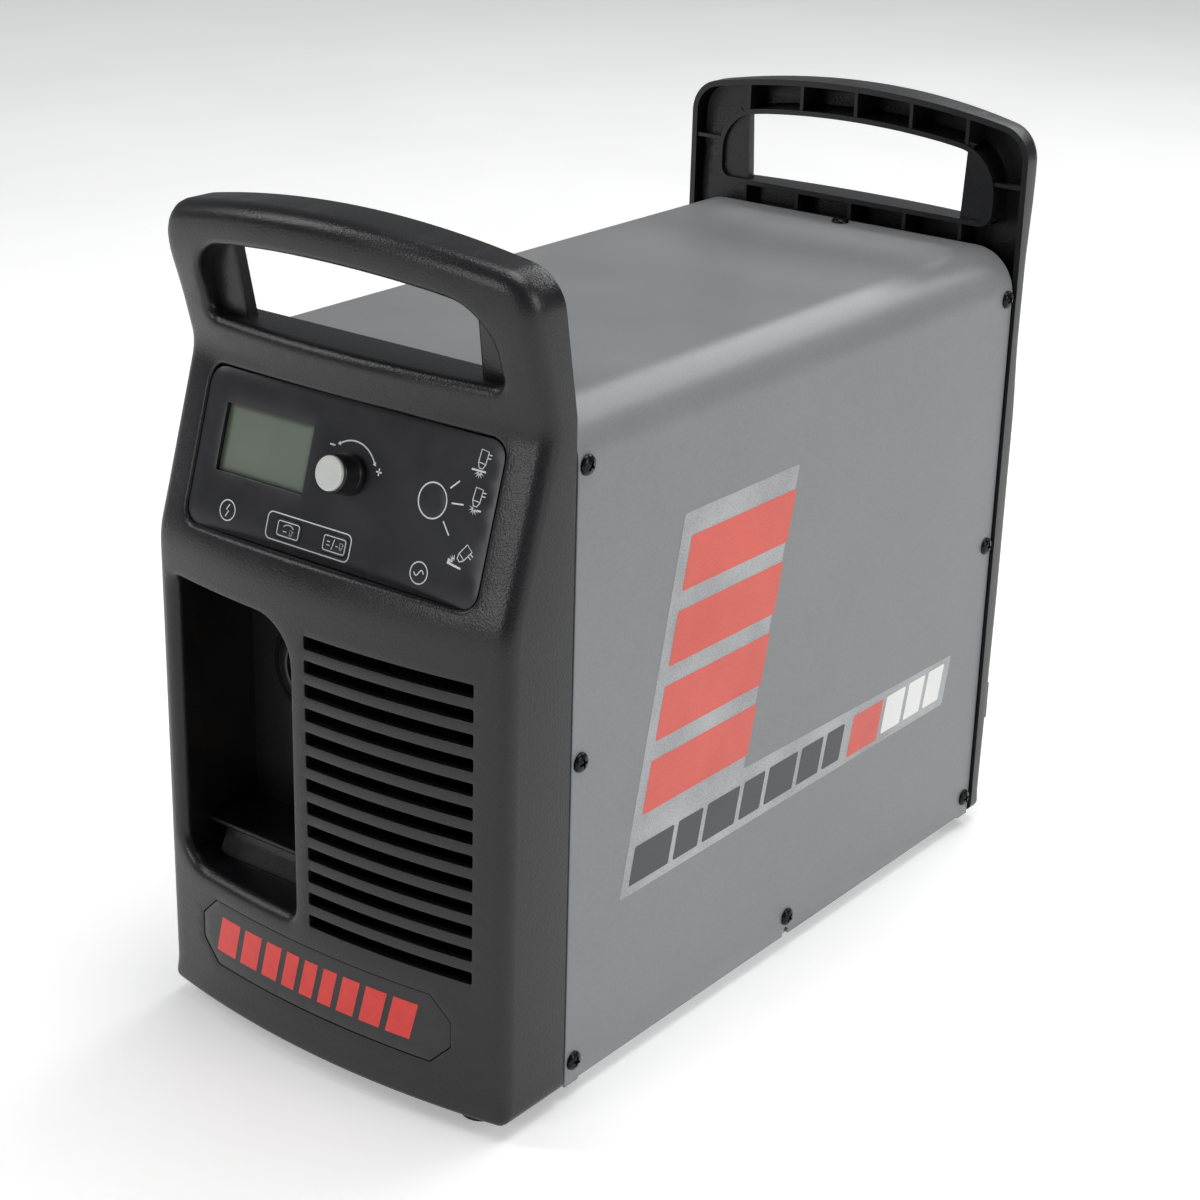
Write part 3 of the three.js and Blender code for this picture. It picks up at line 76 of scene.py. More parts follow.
def linear(code):
    """An sRGB hex colour such as "2b2a2c" as linear red, green, blue and alpha."""
    shares = [int(code[i : i + 2], 16) / 255 for i in (0, 2, 4)]
    return [s / 12.92 if s <= 0.04045 else ((s + 0.055) / 1.055) ** 2.4 for s in shares] + [1.0]


def add(tree, kind, inputs=None, **settings):
    """A node with its settings; an input is a value, or the output that feeds it."""
    made = tree.nodes.new(kind)
    for name, value in settings.items():
        setattr(made, name, value)
    for name, value in (inputs or {}).items():
        if isinstance(value, bpy.types.NodeSocket):
            tree.links.new(value, made.inputs[name])
        else:
            made.inputs[name].default_value = value
    return made


MIX_A, MIX_B, MIX_RESULT = 6, 7, 2  # the colour sockets of a Mix node


def surface(name, dark, light, rough=(0.4, 0.5), patch=40.0, grain=0.8, depth=0.02, **sockets):
    """A finish whose colour and gloss wander between two values over patches of that many
    millimetres, with an even grain of that size standing that many millimetres proud."""
    made = bpy.data.materials.new(name)
    made.use_nodes = True
    tree = made.node_tree
    shader = tree.nodes["Principled BSDF"]
    place = add(tree, "ShaderNodeTexCoord").outputs["Object"]
    clouds = add(
        tree,
        "ShaderNodeTexNoise",
        {"Vector": place, "Scale": 1 / (patch * MM), "Detail": 4.0, "Roughness": 0.6},
    )
    specks = add(
        tree,
        "ShaderNodeTexNoise",
        {"Vector": place, "Scale": 1 / (grain * MM), "Detail": 2.0, "Roughness": 0.55},
    )
    mixed = add(
        tree,
        "ShaderNodeMath",
        {0: clouds.outputs["Fac"], 1: specks.outputs["Fac"]},
        operation="ADD",
    )
    share = add(
        tree,
        "ShaderNodeMapRange",
        {"Value": mixed.outputs[0], "From Min": 0.75, "From Max": 1.25},
    )
    colour = add(
        tree,
        "ShaderNodeMix",
        {"Factor": share.outputs["Result"], MIX_A: linear(dark), MIX_B: linear(light)},
        data_type="RGBA",
    )
    gloss = add(
        tree,
        "ShaderNodeMapRange",
        {"Value": clouds.outputs["Fac"], "From Min": 0.3, "From Max": 0.7, "To Min": rough[0], "To Max": rough[1]},
    )
    bump = add(
        tree,
        "ShaderNodeBump",
        {"Height": specks.outputs["Fac"], "Distance": depth * MM, "Strength": 1.0},
    )
    tree.links.new(colour.outputs[MIX_RESULT], shader.inputs["Base Color"])
    tree.links.new(gloss.outputs["Result"], shader.inputs["Roughness"])
    tree.links.new(bump.outputs["Normal"], shader.inputs["Normal"])
    for socket, value in sockets.items():
        shader.inputs[socket.replace("_", " ")].default_value = value
    return made


# Painted plywood floor: pale, matt, with faint roller marks.
pale_floor = surface(
    "pale_matt_floor", "eeeeed", "f5f5f4", (0.6, 0.75), 300.0, 6.0, 0.0, Emission_Color=linear("ffffff"),
    Emission_Strength=0.3,
)  # fmt: skip


def room():
    floor_mesh = bpy.data.meshes.new("floor")
    reach = 6.0
    corners = [(-reach, -reach, 0), (reach, -reach, 0), (reach, reach, 0), (-reach, reach, 0)]
    floor_mesh.from_pydata(corners, [], [(0, 1, 2, 3)])
    floor_mesh.materials.append(pale_floor)
    floor = bpy.data.objects.new("floor", floor_mesh)
    bpy.context.scene.collection.objects.link(floor)
    world = bpy.data.worlds.new("soft_room")
    world.use_nodes = True
    bpy.context.scene.world = world
    sky = world.node_tree.nodes["Background"]
    sky.inputs["Color"].default_value = linear("f4f6fa")
    sky.inputs["Strength"].default_value = 0.22


def soft_light(name, place, size, power, target=(0.0, 0.0, 0.22)):
    lamp = bpy.data.lights.new(name, "AREA")
    lamp.shape = "RECTANGLE"
    lamp.size, lamp.size_y = size
    lamp.energy = power
    held = bpy.data.objects.new(name, lamp)
    bpy.context.scene.collection.objects.link(held)
    direction = Vector(target) - Vector(place)
    turn = direction.to_track_quat("-Z", "Y").to_matrix().to_4x4()
    held.matrix_world = Matrix.Translation(Vector(place)) @ turn


room()
soft_light("ceiling_light", (0.2, 0.3, 2.6), (1.8, 1.2), 34.0)
soft_light("left_light", (-1.9, -1.3, 1.9), (0.4, 1.6), 16.0)
soft_light("right_light", (2.5, 0.1, 1.2), (0.9, 1.4), 19.0)
soft_light("back_light", (0.2, 2.6, 2.2), (2.6, 0.6), 34.0)
soft_light("front_light", (-0.4, -2.4, 0.95), (0.6, 0.8), 10.0)

# ---- moulded ends --------------------------------------------------------------------------
# Each end is one injection moulding in black ABS and polycarbonate with a fine etched grain: a
# bowed face, a hollow ribbed carrying handle, and a tongue that the sheet cover slides over.

front_low, front_high = (np.array(corner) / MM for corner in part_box("front_bezel"))
rear_low, rear_high = (np.array(corner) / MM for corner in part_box("rear_bezel"))
cover_low, cover_high = (np.array(corner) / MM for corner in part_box("enclosure_cover"))
HALF_WIDTH = front_high[0]
HEIGHT = front_high[2]
FOOT = front_low[2]
BOW = 12.5
ARCH_RADIUS = 560.0
HANDLE_CORNER = 20.0
WALL = 3.5
FACE_Y = front_low[1] + BOW
FRONT_RIM = 197.0  # both are measured outwards from the middle of the unit
REAR_RIM = 215.5
REAR_PANEL = 226.0
HANDLE_LEAN = 15.0
GRIP_TOP = HEIGHT - 21.0
GRIP_FOOT = GRIP_TOP - 45.5
GRIP_HALF = HALF_WIDTH - 23.5
THROAT_INSET = 19.0
GRIP_RIM = 3.0
COVER_TOP = cover_high[2]
COVER_INSET = 2.0
SHEET = 1.5
TONGUE_GAP = SHEET + 0.3

# Height, and distance back from the face, up the middle of each end.
FRONT_PROFILE = [(269.5, 0), (287.5, 6), (362, 29), (397.5, 21), (423.5, 13), (441.5, 12)]
REAR_PROFILE = [(20, 3), (150, 0.5), (269.5, 0.5), (309.5, 3), (362, 2.5), (397.5, 0), (423.5, -2)]


def arch_drop(x):
    return ARCH_RADIUS - np.sqrt(ARCH_RADIUS**2 - np.square(x))


def setback(profile, x, z, soften=7.0):
    """Distance back from the face, with the creases between the slopes rounded."""
    rise = np.clip((z - 362.0) / 61.5, 0, 1)
    up = z + arch_drop(x) * rise
    heights, backs = zip(*profile)
    steps = np.linspace(-soften, soften, 9)
    return sum(np.interp(up + step, heights, backs) for step in steps) / len(steps)


def front_height(x, z):
    return -FACE_Y - setback(FRONT_PROFILE, x, z) + BOW * (1 - np.square(x / HALF_WIDTH))


def rear_height(x, z):
    return REAR_PANEL + 3 - setback(REAR_PROFILE, x, z) + BOW * (1 - np.square(x / HALF_WIDTH))


def front_rim(z):
    """Level of the front handle's rear edge, which leans forward with the handle's face."""
    foot = GRIP_FOOT - HANDLE_LEAN
    return FRONT_RIM + HANDLE_LEAN * np.clip((z - foot) / (HEIGHT + 1 - foot), 0, 1)


def rear_rim(z):
    return np.full(np.shape(z), REAR_RIM)


def facing_front(across, up, out):
    return np.stack([across, -out, up], axis=-1)


def facing_rear(across, up, out):
    return np.stack([across, out, up], axis=-1)


def rounded(corners, step=4.0):
    """A loop of points, anticlockwise, through corners given as (across, up, radius)."""
    loop = []
    count = len(corners)
    for i, (x, z, radius) in enumerate(corners):
        corner = np.array([x, z])
        before = np.array(corners[i - 1][:2]) - corner
        after = np.array(corners[(i + 1) % count][:2]) - corner
        before = before / np.linalg.norm(before)
        after = after / np.linalg.norm(after)
        if radius < 0.05:
            loop.append(corner)
            continue
        half = math.acos(float(np.clip(before @ after, -1, 1))) / 2
        middle = before + after
        centre = corner + middle / np.linalg.norm(middle) * radius / math.sin(half)
        start = corner + before * radius / math.tan(half) - centre
        end = corner + after * radius / math.tan(half) - centre
        sweep = math.atan2(start[0] * end[1] - start[1] * end[0], float(start @ end))
        pieces = max(2, math.ceil(abs(sweep) * radius / (0.6 * step)))
        for k in range(pieces + 1):
            angle = sweep * k / pieces
            c, s = math.cos(angle), math.sin(angle)
            loop.append(centre + np.array([c * start[0] - s * start[1], s * start[0] + c * start[1]]))
    filled = []
    for i, point in enumerate(loop):
        following = loop[(i + 1) % len(loop)]
        cuts = max(1, math.ceil(float(np.linalg.norm(following - point)) / step))
        filled.extend(point + (following - point) * k / cuts for k in range(cuts))
    return np.array(filled)


def outward(loop):
    """The outward normal at each point of an anticlockwise loop."""
    tangent = np.roll(loop, -1, axis=0) - np.roll(loop, 1, axis=0)
    normal = np.stack([tangent[:, 1], -tangent[:, 0]], axis=-1)
    return normal / np.linalg.norm(normal, axis=1, keepdims=True)


def inside(points, loop):
    """Which of the points lie within the loop."""
    x, z = points[:, 0:1], points[:, 1:2]
    x0, z0 = loop[:, 0], loop[:, 1]
    x1, z1 = np.roll(x0, -1), np.roll(z0, -1)
    spans = (z0 > z) != (z1 > z)
    with np.errstate(divide="ignore", invalid="ignore"):
        crossing = x0 + (z - z0) * (x1 - x0) / (z1 - z0)
    return (np.sum(spans & (x < crossing), axis=1) % 2).astype(bool)


class Edge:
    """One edge of a moulding: its loop, the radius it is rounded to, and its walls.
    way is -1 for the outer edge, which rounds inwards, and 1 for the edge of an opening."""

    def __init__(self, loop, radius, way=1, steps=4):
        self.loop = loop
        self.way = way
        self.normal = outward(loop)
        self.radius = np.broadcast_to(np.asarray(radius, float), (len(loop),))
        angles = [0.5 * math.pi * k / steps for k in range(steps + 1)]
        self.rings = [(self.grown(self.radius * (1 - math.cos(a))), 1 - math.sin(a)) for a in angles]
        self.walls = []

    def grown(self, offset):
        offset = np.broadcast_to(np.asarray(offset, float), (len(self.loop),))
        return self.loop + self.way * self.normal * offset[:, None]


def mesh_object(name, points, faces, material, smooth=40.0):
    mesh = bpy.data.meshes.new(name)
    mesh.from_pydata((np.asarray(points, float) * MM).tolist(), [], faces)
    mesh.materials.append(material)
    solid = bmesh.new()
    solid.from_mesh(mesh)
    bmesh.ops.remove_doubles(solid, verts=solid.verts, dist=0.002 * MM)
    bmesh.ops.recalc_face_normals(solid, faces=solid.faces)
    solid.to_mesh(mesh)
    solid.free()
    mesh.shade_smooth()
    mesh.set_sharp_from_angle(angle=math.radians(smooth))
    made = bpy.data.objects.new(name, mesh)
    bpy.context.scene.collection.objects.link(made)
    return made


def moulding(edges, height, thickness, place, grid=5.0):
    """Points and faces of a moulded wall with rounded edges. The first edge is the outer one.
    An edge's walls are further rings of points, already placed, between its front and back."""
    flat, tall, chains = [], [], []
    for edge in edges:
        chain = []
        for ring, drop in edge.rings:
            chain.append(np.arange(len(ring)) + sum(len(part) for part in flat))
            flat.append(ring)
            tall.append(height(ring[:, 0], ring[:, 1]) - edge.radius * drop)
        chains.append(chain)
    rims = [edge.rings[-1][0] for edge in edges]
    low, high = rims[0].min(axis=0), rims[0].max(axis=0)
    columns = np.arange(low[0] + grid / 2, high[0], grid)
    rows = np.arange(low[1] + grid / 2, high[1], grid * 0.87)
    net = np.array([(x + (j % 2) * grid / 2, z) for j, z in enumerate(rows) for x in columns])
    keep = inside(net, rims[0])
    for k, rim in enumerate(rims):
        if k:
            keep &= ~inside(net, rim)
        gap = np.array([np.min(np.sum(np.square(rim - p), axis=1)) for p in net])
        keep &= gap > (0.6 * grid) ** 2
    net = net[keep]
    flat.append(net)
    tall.append(height(net[:, 0], net[:, 1]))
    plan = np.concatenate(flat)
    heights = np.concatenate(tall)
    tied = [(a, b) for chain in chains for ring in chain for a, b in zip(ring, np.roll(ring, -1))]
    tied = [(int(a), int(b)) for a, b in tied]
    found = delaunay_2d_cdt([Vector(p) for p in plan], tied, [], 0, 1e-5)
    origin = [ids[0] if ids else -1 for ids in found[3]]
    triangles = np.array([[origin[v] for v in face] for face in found[2]])
    triangles = triangles[(triangles >= 0).all(axis=1)]
    centres = plan[triangles].mean(axis=1)
    keep = inside(centres, edges[0].rings[0][0])
    for edge in edges[1:]:
        keep &= ~inside(centres, edge.rings[0][0])
    triangles = triangles[keep]
    points = [place(plan[:, 0], plan[:, 1], heights)]
    count = len(plan)
    backs = np.full(count, -1)
    inner = np.zeros(count, bool)
    inner[count - len(net) :] = True
    for chain in chains:
        inner[chain[-1]] = True
    backs[inner] = count + np.arange(inner.sum())
    back_height = height(plan[inner, 0], plan[inner, 1]) - thickness
    points.append(place(plan[inner, 0], plan[inner, 1], back_height))
    count += int(inner.sum())
    faces = [tuple(int(v) for v in t) for t in triangles]
    faces += [tuple(int(backs[v]) for v in t[::-1]) for t in triangles if inner[t].all()]
    for edge, chain in zip(edges, chains):
        last = chain[0]
        walls = edge.walls or [through(edge, height, thickness, place)]
        for wall in walls:
            ring = count + np.arange(len(wall))
            points.append(wall)
            count += len(wall)
            faces += strip(last, ring)
            last = ring
        faces += strip(last, backs[chain[-1]])
    return np.concatenate(points), faces


def strip(first, second):
    """Quads between two rings of as many points."""
    a, b = np.roll(first, -1), np.roll(second, -1)
    return [tuple(int(v) for v in quad) for quad in zip(first, a, b, second)]


def through(edge, height, thickness, place):
    ring = edge.rings[0][0]
    return place(ring[:, 0], ring[:, 1], height(ring[:, 0], ring[:, 1]) - thickness)


def deep_wall(edge, height, rim, rim_width, place):
    """A wall from an edge straight back to the rim, over it, and forward to the inner face."""
    outer, inner = edge.rings[0][0], edge.grown(rim_width)
    level = rim(inner[:, 1])
    forward = height(inner[:, 0], inner[:, 1]) - WALL - 1.5
    return [
        place(outer[:, 0], outer[:, 1], rim(outer[:, 1])),
        place(inner[:, 0], inner[:, 1], level),
        place(inner[:, 0], inner[:, 1], np.maximum(forward, level + 0.5)),
    ]


def end_outline():
    shares = np.arange(0.84, -0.85, -0.06)
    arch = [(s * HALF_WIDTH, HEIGHT - float(arch_drop(s * HALF_WIDTH)), 0) for s in shares]
    side_top = HEIGHT - float(arch_drop(HALF_WIDTH))
    return rounded(
        [(-HALF_WIDTH, FOOT, 5), (HALF_WIDTH, FOOT, 5), (HALF_WIDTH, side_top, HANDLE_CORNER)]
        + arch
        + [(-HALF_WIDTH, side_top, HANDLE_CORNER)]
    )


def grip_outline(grow=0.0, half=GRIP_HALF, corner=25.0, foot_corner=6.0):
    side = half + grow
    shares = np.arange(0.66, -0.67, -0.06)
    arch = [(s * side, GRIP_TOP + grow - float(arch_drop(s * side)), 0) for s in shares]
    side_top = GRIP_TOP + grow - float(arch_drop(side))
    return rounded(
        [
            (-side, GRIP_FOOT - grow, foot_corner + grow),
            (side, GRIP_FOOT - grow, foot_corner + grow),
            (side, side_top, corner + grow),
        ]
        + arch
        + [(-side, side_top, corner + grow)],
        3.0,
    )


def edge_radii(loop, foot, side, top):
    """Radius of the outer edge: small at the foot, larger at the sides and over the handle."""
    up = np.clip((loop[:, 1] - FOOT) / 12.0, 0, 1)
    over = np.clip((loop[:, 1] - 395.0) / 30.0, 0, 1)
    return foot + (side - foot) * up + (top - side) * over


def slab(low, high):
    """Points and faces of a rib or a divider between two corners."""
    points = [(x, y, z) for x in (low[0], high[0]) for y in (low[1], high[1]) for z in (low[2], high[2])]
    faces = [(0, 1, 3, 2), (4, 6, 7, 5), (0, 4, 5, 1), (2, 3, 7, 6), (0, 2, 6, 4), (1, 5, 7, 3)]
    return np.array(points), faces


def gathered(*solids):
    """Several solids as the points and faces of one piece."""
    points, faces, count = [], [], 0
    for some_points, some_faces in solids:
        points.append(some_points)
        faces += [tuple(v + count for v in face) for face in some_faces]
        count += len(some_points)
    return np.concatenate(points), faces


def cover_section(inset, foot, step=3.0):
    """The cover's section, open at the foot, from the left side over the top to the right."""
    side = HALF_WIDTH - COVER_INSET - inset
    top = COVER_TOP - inset
    radius = 26.0 - inset
    left = [(-side, foot)]
    left += [
        (-side + radius - radius * math.cos(a), top - radius + radius * math.sin(a))
        for a in np.linspace(0, math.pi / 2, 15)
    ]
    right = [(-x, z) for x, z in reversed(left)]
    return np.array(left + right)


def tongue(near, far, way):
    """The band that the cover slides over, from near to far along the unit."""
    outer, inner = cover_section(TONGUE_GAP, FOOT + 2), cover_section(TONGUE_GAP + 2.5, FOOT + 4.5)
    rings = []
    for section, y in ((outer, near), (outer, far), (inner, far), (inner, near)):
        rings.append(np.stack([section[:, 0], np.full(len(section), way * y), section[:, 1]], axis=-1))
    count = len(outer)
    faces = []
    for k in range(4):
        first = np.arange(count) + k * count
        second = np.arange(count) + ((k + 1) % 4) * count
        faces += strip(first, second)
    return np.concatenate(rings), faces


def handle_ribs(height, rim, way):
    """Ribs between the outer wall and the grip's rim, and the floor of the handle's hollow."""
    solids = []
    for x in (-76.0, -38.0, 0.0, 38.0, 76.0):
        top = HEIGHT - float(arch_drop(x)) - 2.0
        grip = GRIP_TOP - float(arch_drop(x)) + 1.5
        for z0, z1 in [(grip, top), (COVER_TOP - 6.0, GRIP_FOOT - 1.5)]:
            face = height(np.full(9, x), np.linspace(z0, z1 - 6, 9)).min()
            y0, y1 = sorted((way * (float(rim(z1)) + 1), way * (face - WALL + 0.5)))
            solids.append(slab((x - 1.1, y0, z0), (x + 1.1, y1, z1)))
    middle = (GRIP_TOP + GRIP_FOOT) / 2
    for side in (-1, 1):
        far = float(height(np.array(HALF_WIDTH), np.array(middle))) - WALL - 5.0
        y0, y1 = sorted((way * (float(rim(middle)) + 1), way * far))
        x0, x1 = sorted((side * (GRIP_HALF + 1.5), side * (HALF_WIDTH - 1.8)))
        solids.append(slab((x0, y0, middle - 1.1), (x1, y1, middle + 1.1)))
    far = float(height(np.array(0.0), np.array(364.0))) - BOW - WALL + 2
    y0, y1 = sorted((way * (float(rim(0.0)) - 17.0), way * far))
    solids.append(slab((-HALF_WIDTH + 28, y0, COVER_TOP - 5.0), (HALF_WIDTH - 28, y1, COVER_TOP - TONGUE_GAP)))
    return solids


def grip_web(level, place):
    """A web closes each end of the grip, leaving a throat between them for the hand."""
    webs = []
    for side in (-1, 1):
        foot, top, wide = GRIP_HALF - THROAT_INSET, GRIP_HALF - THROAT_INSET + 2.0, GRIP_HALF + 2.4
        crown = [GRIP_TOP + 2.4 - float(arch_drop(x)) for x in (top, 82.0, wide)]
        corners = [(foot, GRIP_FOOT - 2.4, 0), (wide, GRIP_FOOT - 2.4, 6), (wide, crown[2], 27)]
        corners += [(82.0, crown[1], 0), (top, crown[0], 0)]
        loop = rounded([(side * x, z, r) for x, z, r in corners][::side], 3.0)
        webs.append(moulding([Edge(loop, 2.0, -1, 3)], level, 7.0, place, 7.0))
    return gathered(*webs)


# Moulded ABS and polycarbonate blend, etched in the tool: near black, satin, with a fine pebble
# grain that breaks the highlights into specks.
moulded_black = surface(
    "moulded_black_abs", "0a0a0c", "18181b", (0.27, 0.35), 60.0, 1.1, 0.2, Specular_IOR_Level=0.46
)

# ---- front end -----------------------------------------------------------------------------
# The front moulding: panel recess, connector pocket, thirteen louvre slots and a shallow seat
# for the badge. The left and lower lips of the pocket are rolled, the others are crisp.

PANEL_TILT = math.radians(17.1)
PANEL_HALF = HALF_WIDTH - 22.0
PANEL_LENGTH = 81.0
PANEL_CORNER = 9.0
PANEL_SHEET = 1.2
panel_top = np.array([0.0, FACE_Y + 24.0, HEIGHT - 92.0])
panel_across = np.array([1.0, 0.0, 0.0])
panel_up = np.array([0.0, math.sin(PANEL_TILT), math.cos(PANEL_TILT)])
panel_out = np.array([0.0, -math.cos(PANEL_TILT), math.sin(PANEL_TILT)])
panel_centre = panel_top - panel_up * PANEL_LENGTH / 2

POCKET_LEFT = -HALF_WIDTH + 15.0
POCKET_RIGHT = -12.0
OPENING_FOOT = FOOT + 77.0
OPENING_TOP = HEIGHT - 178.0 - 21.0
SLOT_LEFT = -2.0
SLOT_RIGHT = HALF_WIDTH - 19.0
SLOT_PITCH = 12.7
SLOT_OPENING = 6.6
BADGE_HALF = HALF_WIDTH - 31.0
BADGE_FOOT = FOOT + 26.0
BADGE_TOP = BADGE_FOOT + 38.0
BADGE_CORNER = 12.0


def on_panel(across, up, out):
    across, up, out = (np.asarray(v, float)[..., None] for v in (across, up, out))
    return panel_centre + across * panel_across + up * panel_up + out * panel_out


def panel_outline(grow):
    side, half = PANEL_HALF + grow, PANEL_LENGTH / 2 + grow
    corner = PANEL_CORNER + grow
    return rounded(
        [(-side, -half, corner), (side, -half, corner), (side, half, corner), (-side, half, corner)]
    )


def where_panel_meets_face(loop):
    """Each panel point carried straight out of the panel to the bowed face of the end."""
    out = np.zeros(len(loop))
    for _ in range(8):
        point = on_panel(loop[:, 0], loop[:, 1], out)
        out += (-front_height(point[:, 0], point[:, 2]) - point[:, 1]) / panel_out[1]
    point = on_panel(loop[:, 0], loop[:, 1], out)
    return point[:, [0, 2]]


def badge_outline(grow):
    side = BADGE_HALF + grow
    foot, top = BADGE_FOOT - grow, BADGE_TOP + grow
    cut = BADGE_CORNER
    return rounded(
        [
            (-side + cut, foot, 1), (side - cut, foot, 1), (side, foot + cut, 1),
            (side, top - cut, 1), (side - cut, top, 1), (-side + cut, top, 1),
            (-side, top - cut, 1), (-side, foot + cut, 1),
        ]
    )  # fmt: skip


def pocket_outline(grow=0.0):
    return rounded(
        [
            (POCKET_LEFT - grow, OPENING_FOOT - grow, 18 + grow),
            (POCKET_RIGHT + grow, OPENING_FOOT - grow, 8 + grow),
            (POCKET_RIGHT + grow, OPENING_TOP + grow, 24 + grow),
            (POCKET_LEFT - grow, OPENING_TOP + grow, 6 + grow),
        ]
    )


def front_end():
    outline = end_outline()
    outer = Edge(outline, edge_radii(outline, 3.0, 7.0, 9.0), -1)
    outer.walls = deep_wall(outer, front_height, front_rim, WALL, facing_front)

    grip_loop = grip_outline()
    grip_low = np.clip((GRIP_FOOT + 8 - grip_loop[:, 1]) / 8, 0, 1)
    grip = Edge(grip_loop, 4.0 + 3.0 * grip_low)
    grip.walls = deep_wall(grip, front_height, front_rim, GRIP_RIM, facing_front)

    panel_loop = panel_outline(0.2)
    panel = Edge(where_panel_meets_face(panel_loop), 2.2)
    foot = on_panel(panel_loop[:, 0], panel_loop[:, 1], np.full(len(panel_loop), -2.6))
    lip = panel_loop + outward(panel_loop) * 2.0
    panel.walls = [foot, on_panel(lip[:, 0], lip[:, 1], np.full(len(lip), -2.6))]

    pocket_loop = pocket_outline()
    facing = outward(pocket_loop)
    rolled = np.clip(0.5 - 0.5 * (facing[:, 0] + facing[:, 1]), 0, 1)
    pocket = Edge(pocket_loop, 2.2 + 4.6 * rolled * rolled * (3 - 2 * rolled))
    inner_lip = pocket.grown(2.0)
    lip_level = np.full(len(pocket_loop), -FACE_Y - 14.0)
    pocket.walls = [
        facing_front(pocket_loop[:, 0], pocket_loop[:, 1], lip_level),
        facing_front(inner_lip[:, 0], inner_lip[:, 1], lip_level),
    ]

    slots = []
    for k in range(13):
        foot_z = OPENING_FOOT + k * SLOT_PITCH
        top_z = foot_z + SLOT_OPENING
        corners = [(SLOT_LEFT, foot_z), (SLOT_RIGHT, foot_z), (SLOT_RIGHT, top_z), (SLOT_LEFT, top_z)]
        slots.append(Edge(rounded([(*corner, 0.8) for corner in corners], 5.0), 0.5, 1, 2))
    badge = Edge(badge_outline(0.3), 0.4, 1, 2)

    shell = moulding([outer, grip, panel, pocket, badge, *slots], front_height, WALL, facing_front)
    web = grip_web(lambda x, z: front_rim(z) + 15.0, facing_front)
    band = tongue(FRONT_RIM + 1, FRONT_RIM - 18, -1)
    points, faces = gathered(shell, web, band, *handle_ribs(front_height, front_rim, -1))
    made = mesh_object("front_end", points, faces, moulded_black)
    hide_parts("front_bezel")
    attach(made, "cabinet")


front_end()


# ---- rear end ------------------------------------------------------------------------------
# The matching moulding at the back. Its panel lies flat inside a frame and holds the fan
# grille, the power switch, two covered ports, the cord gland and the alcove of the air filter.

PANEL_SIDE = HALF_WIDTH - 9.0
PANEL_FOOT = FOOT + 13.0
PANEL_TOP = COVER_TOP - TONGUE_GAP - 14.0
fan_low, fan_high = (np.array(corner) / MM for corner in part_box("fan_frame"))
FAN_X = (fan_low[0] + fan_high[0]) / 2
FAN_Z = (fan_low[2] + fan_high[2]) / 2
FAN_BORE = 57.0
ALCOVE_LEFT = -HALF_WIDTH + 13.0
ALCOVE_RIGHT = ALCOVE_LEFT + 82.0
ALCOVE_FOOT = FOOT + 17.0
ALCOVE_TOP = ALCOVE_FOOT + 144.0
ALCOVE_BACK = REAR_PANEL - 38.0


def flat(level):
    return lambda x, z: np.full(np.shape(x), level)


def rectangle(left, right, foot, top, corner, step=6.0):
    corners = [(left, foot), (right, foot), (right, top), (left, top)]
    return rounded([(x, z, corner) for x, z in corners], step)


def rear_end():
    outline = end_outline()
    outer = Edge(outline, edge_radii(outline, 3.0, 5.0, 7.0), -1)
    outer.walls = deep_wall(outer, rear_height, rear_rim, WALL, facing_rear)
    grip = Edge(grip_outline(), 4.0)
    grip.walls = deep_wall(grip, rear_height, rear_rim, GRIP_RIM, facing_rear)
    recess = Edge(rectangle(-PANEL_SIDE, PANEL_SIDE, PANEL_FOOT, PANEL_TOP, 8), 1.6, 1, 3)
    behind = recess.grown(1.5)
    level = np.full(len(behind), REAR_PANEL - 3.0)
    recess.walls = [
        facing_rear(recess.loop[:, 0], recess.loop[:, 1], level),
        facing_rear(behind[:, 0], behind[:, 1], level),
    ]
    shell = moulding([outer, grip, recess], rear_height, WALL, facing_rear)

    rim = Edge(rectangle(-PANEL_SIDE - 1, PANEL_SIDE + 1, PANEL_FOOT - 1, PANEL_TOP + 1, 8), 0.3, -1, 1)
    grille = []
    for k in range(10):
        z = FAN_Z + (k - 4.5) * 11
        reach = math.sqrt(FAN_BORE**2 - (abs(k - 4.5) * 11 + 3) ** 2)
        grille.append(Edge(rectangle(FAN_X - reach, FAN_X + reach, z - 3, z + 3, 2.8), 0.8, 1, 2))
    alcove = Edge(rectangle(ALCOVE_LEFT, ALCOVE_RIGHT, ALCOVE_FOOT, ALCOVE_TOP, 5), 1.5, 1, 3)
    wider = alcove.grown(2.5)
    deep = np.full(len(wider), ALCOVE_BACK)
    near = np.full(len(wider), REAR_PANEL - WALL - 1)
    alcove.walls = [
        facing_rear(alcove.loop[:, 0], alcove.loop[:, 1], deep),
        facing_rear(wider[:, 0], wider[:, 1], deep),
        facing_rear(wider[:, 0], wider[:, 1], near),
    ]
    panel = moulding([rim, *grille, alcove], flat(REAR_PANEL), WALL, facing_rear, 9.0)
    back = slab(
        (ALCOVE_LEFT - 2, ALCOVE_BACK - 2.5, ALCOVE_FOOT - 2), (ALCOVE_RIGHT + 2, ALCOVE_BACK, ALCOVE_TOP + 2)
    )
    web = grip_web(flat(225.0), facing_rear)
    band = tongue(REAR_RIM + 1, REAR_RIM - 18, 1)
    points, faces = gathered(shell, panel, back, web, band, *handle_ribs(rear_height, rear_rim, 1))
    made = mesh_object("rear_end", points, faces, moulded_black)
    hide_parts("rear_bezel")
    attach(made, "cabinet")


rear_end()

# ---- sheet cover ---------------------------------------------------------------------------
# One folded steel sheet over both sides and the top, powder coated in fine-textured grey, with
# tabs at the foot of its ends and a notch under the middle screw.

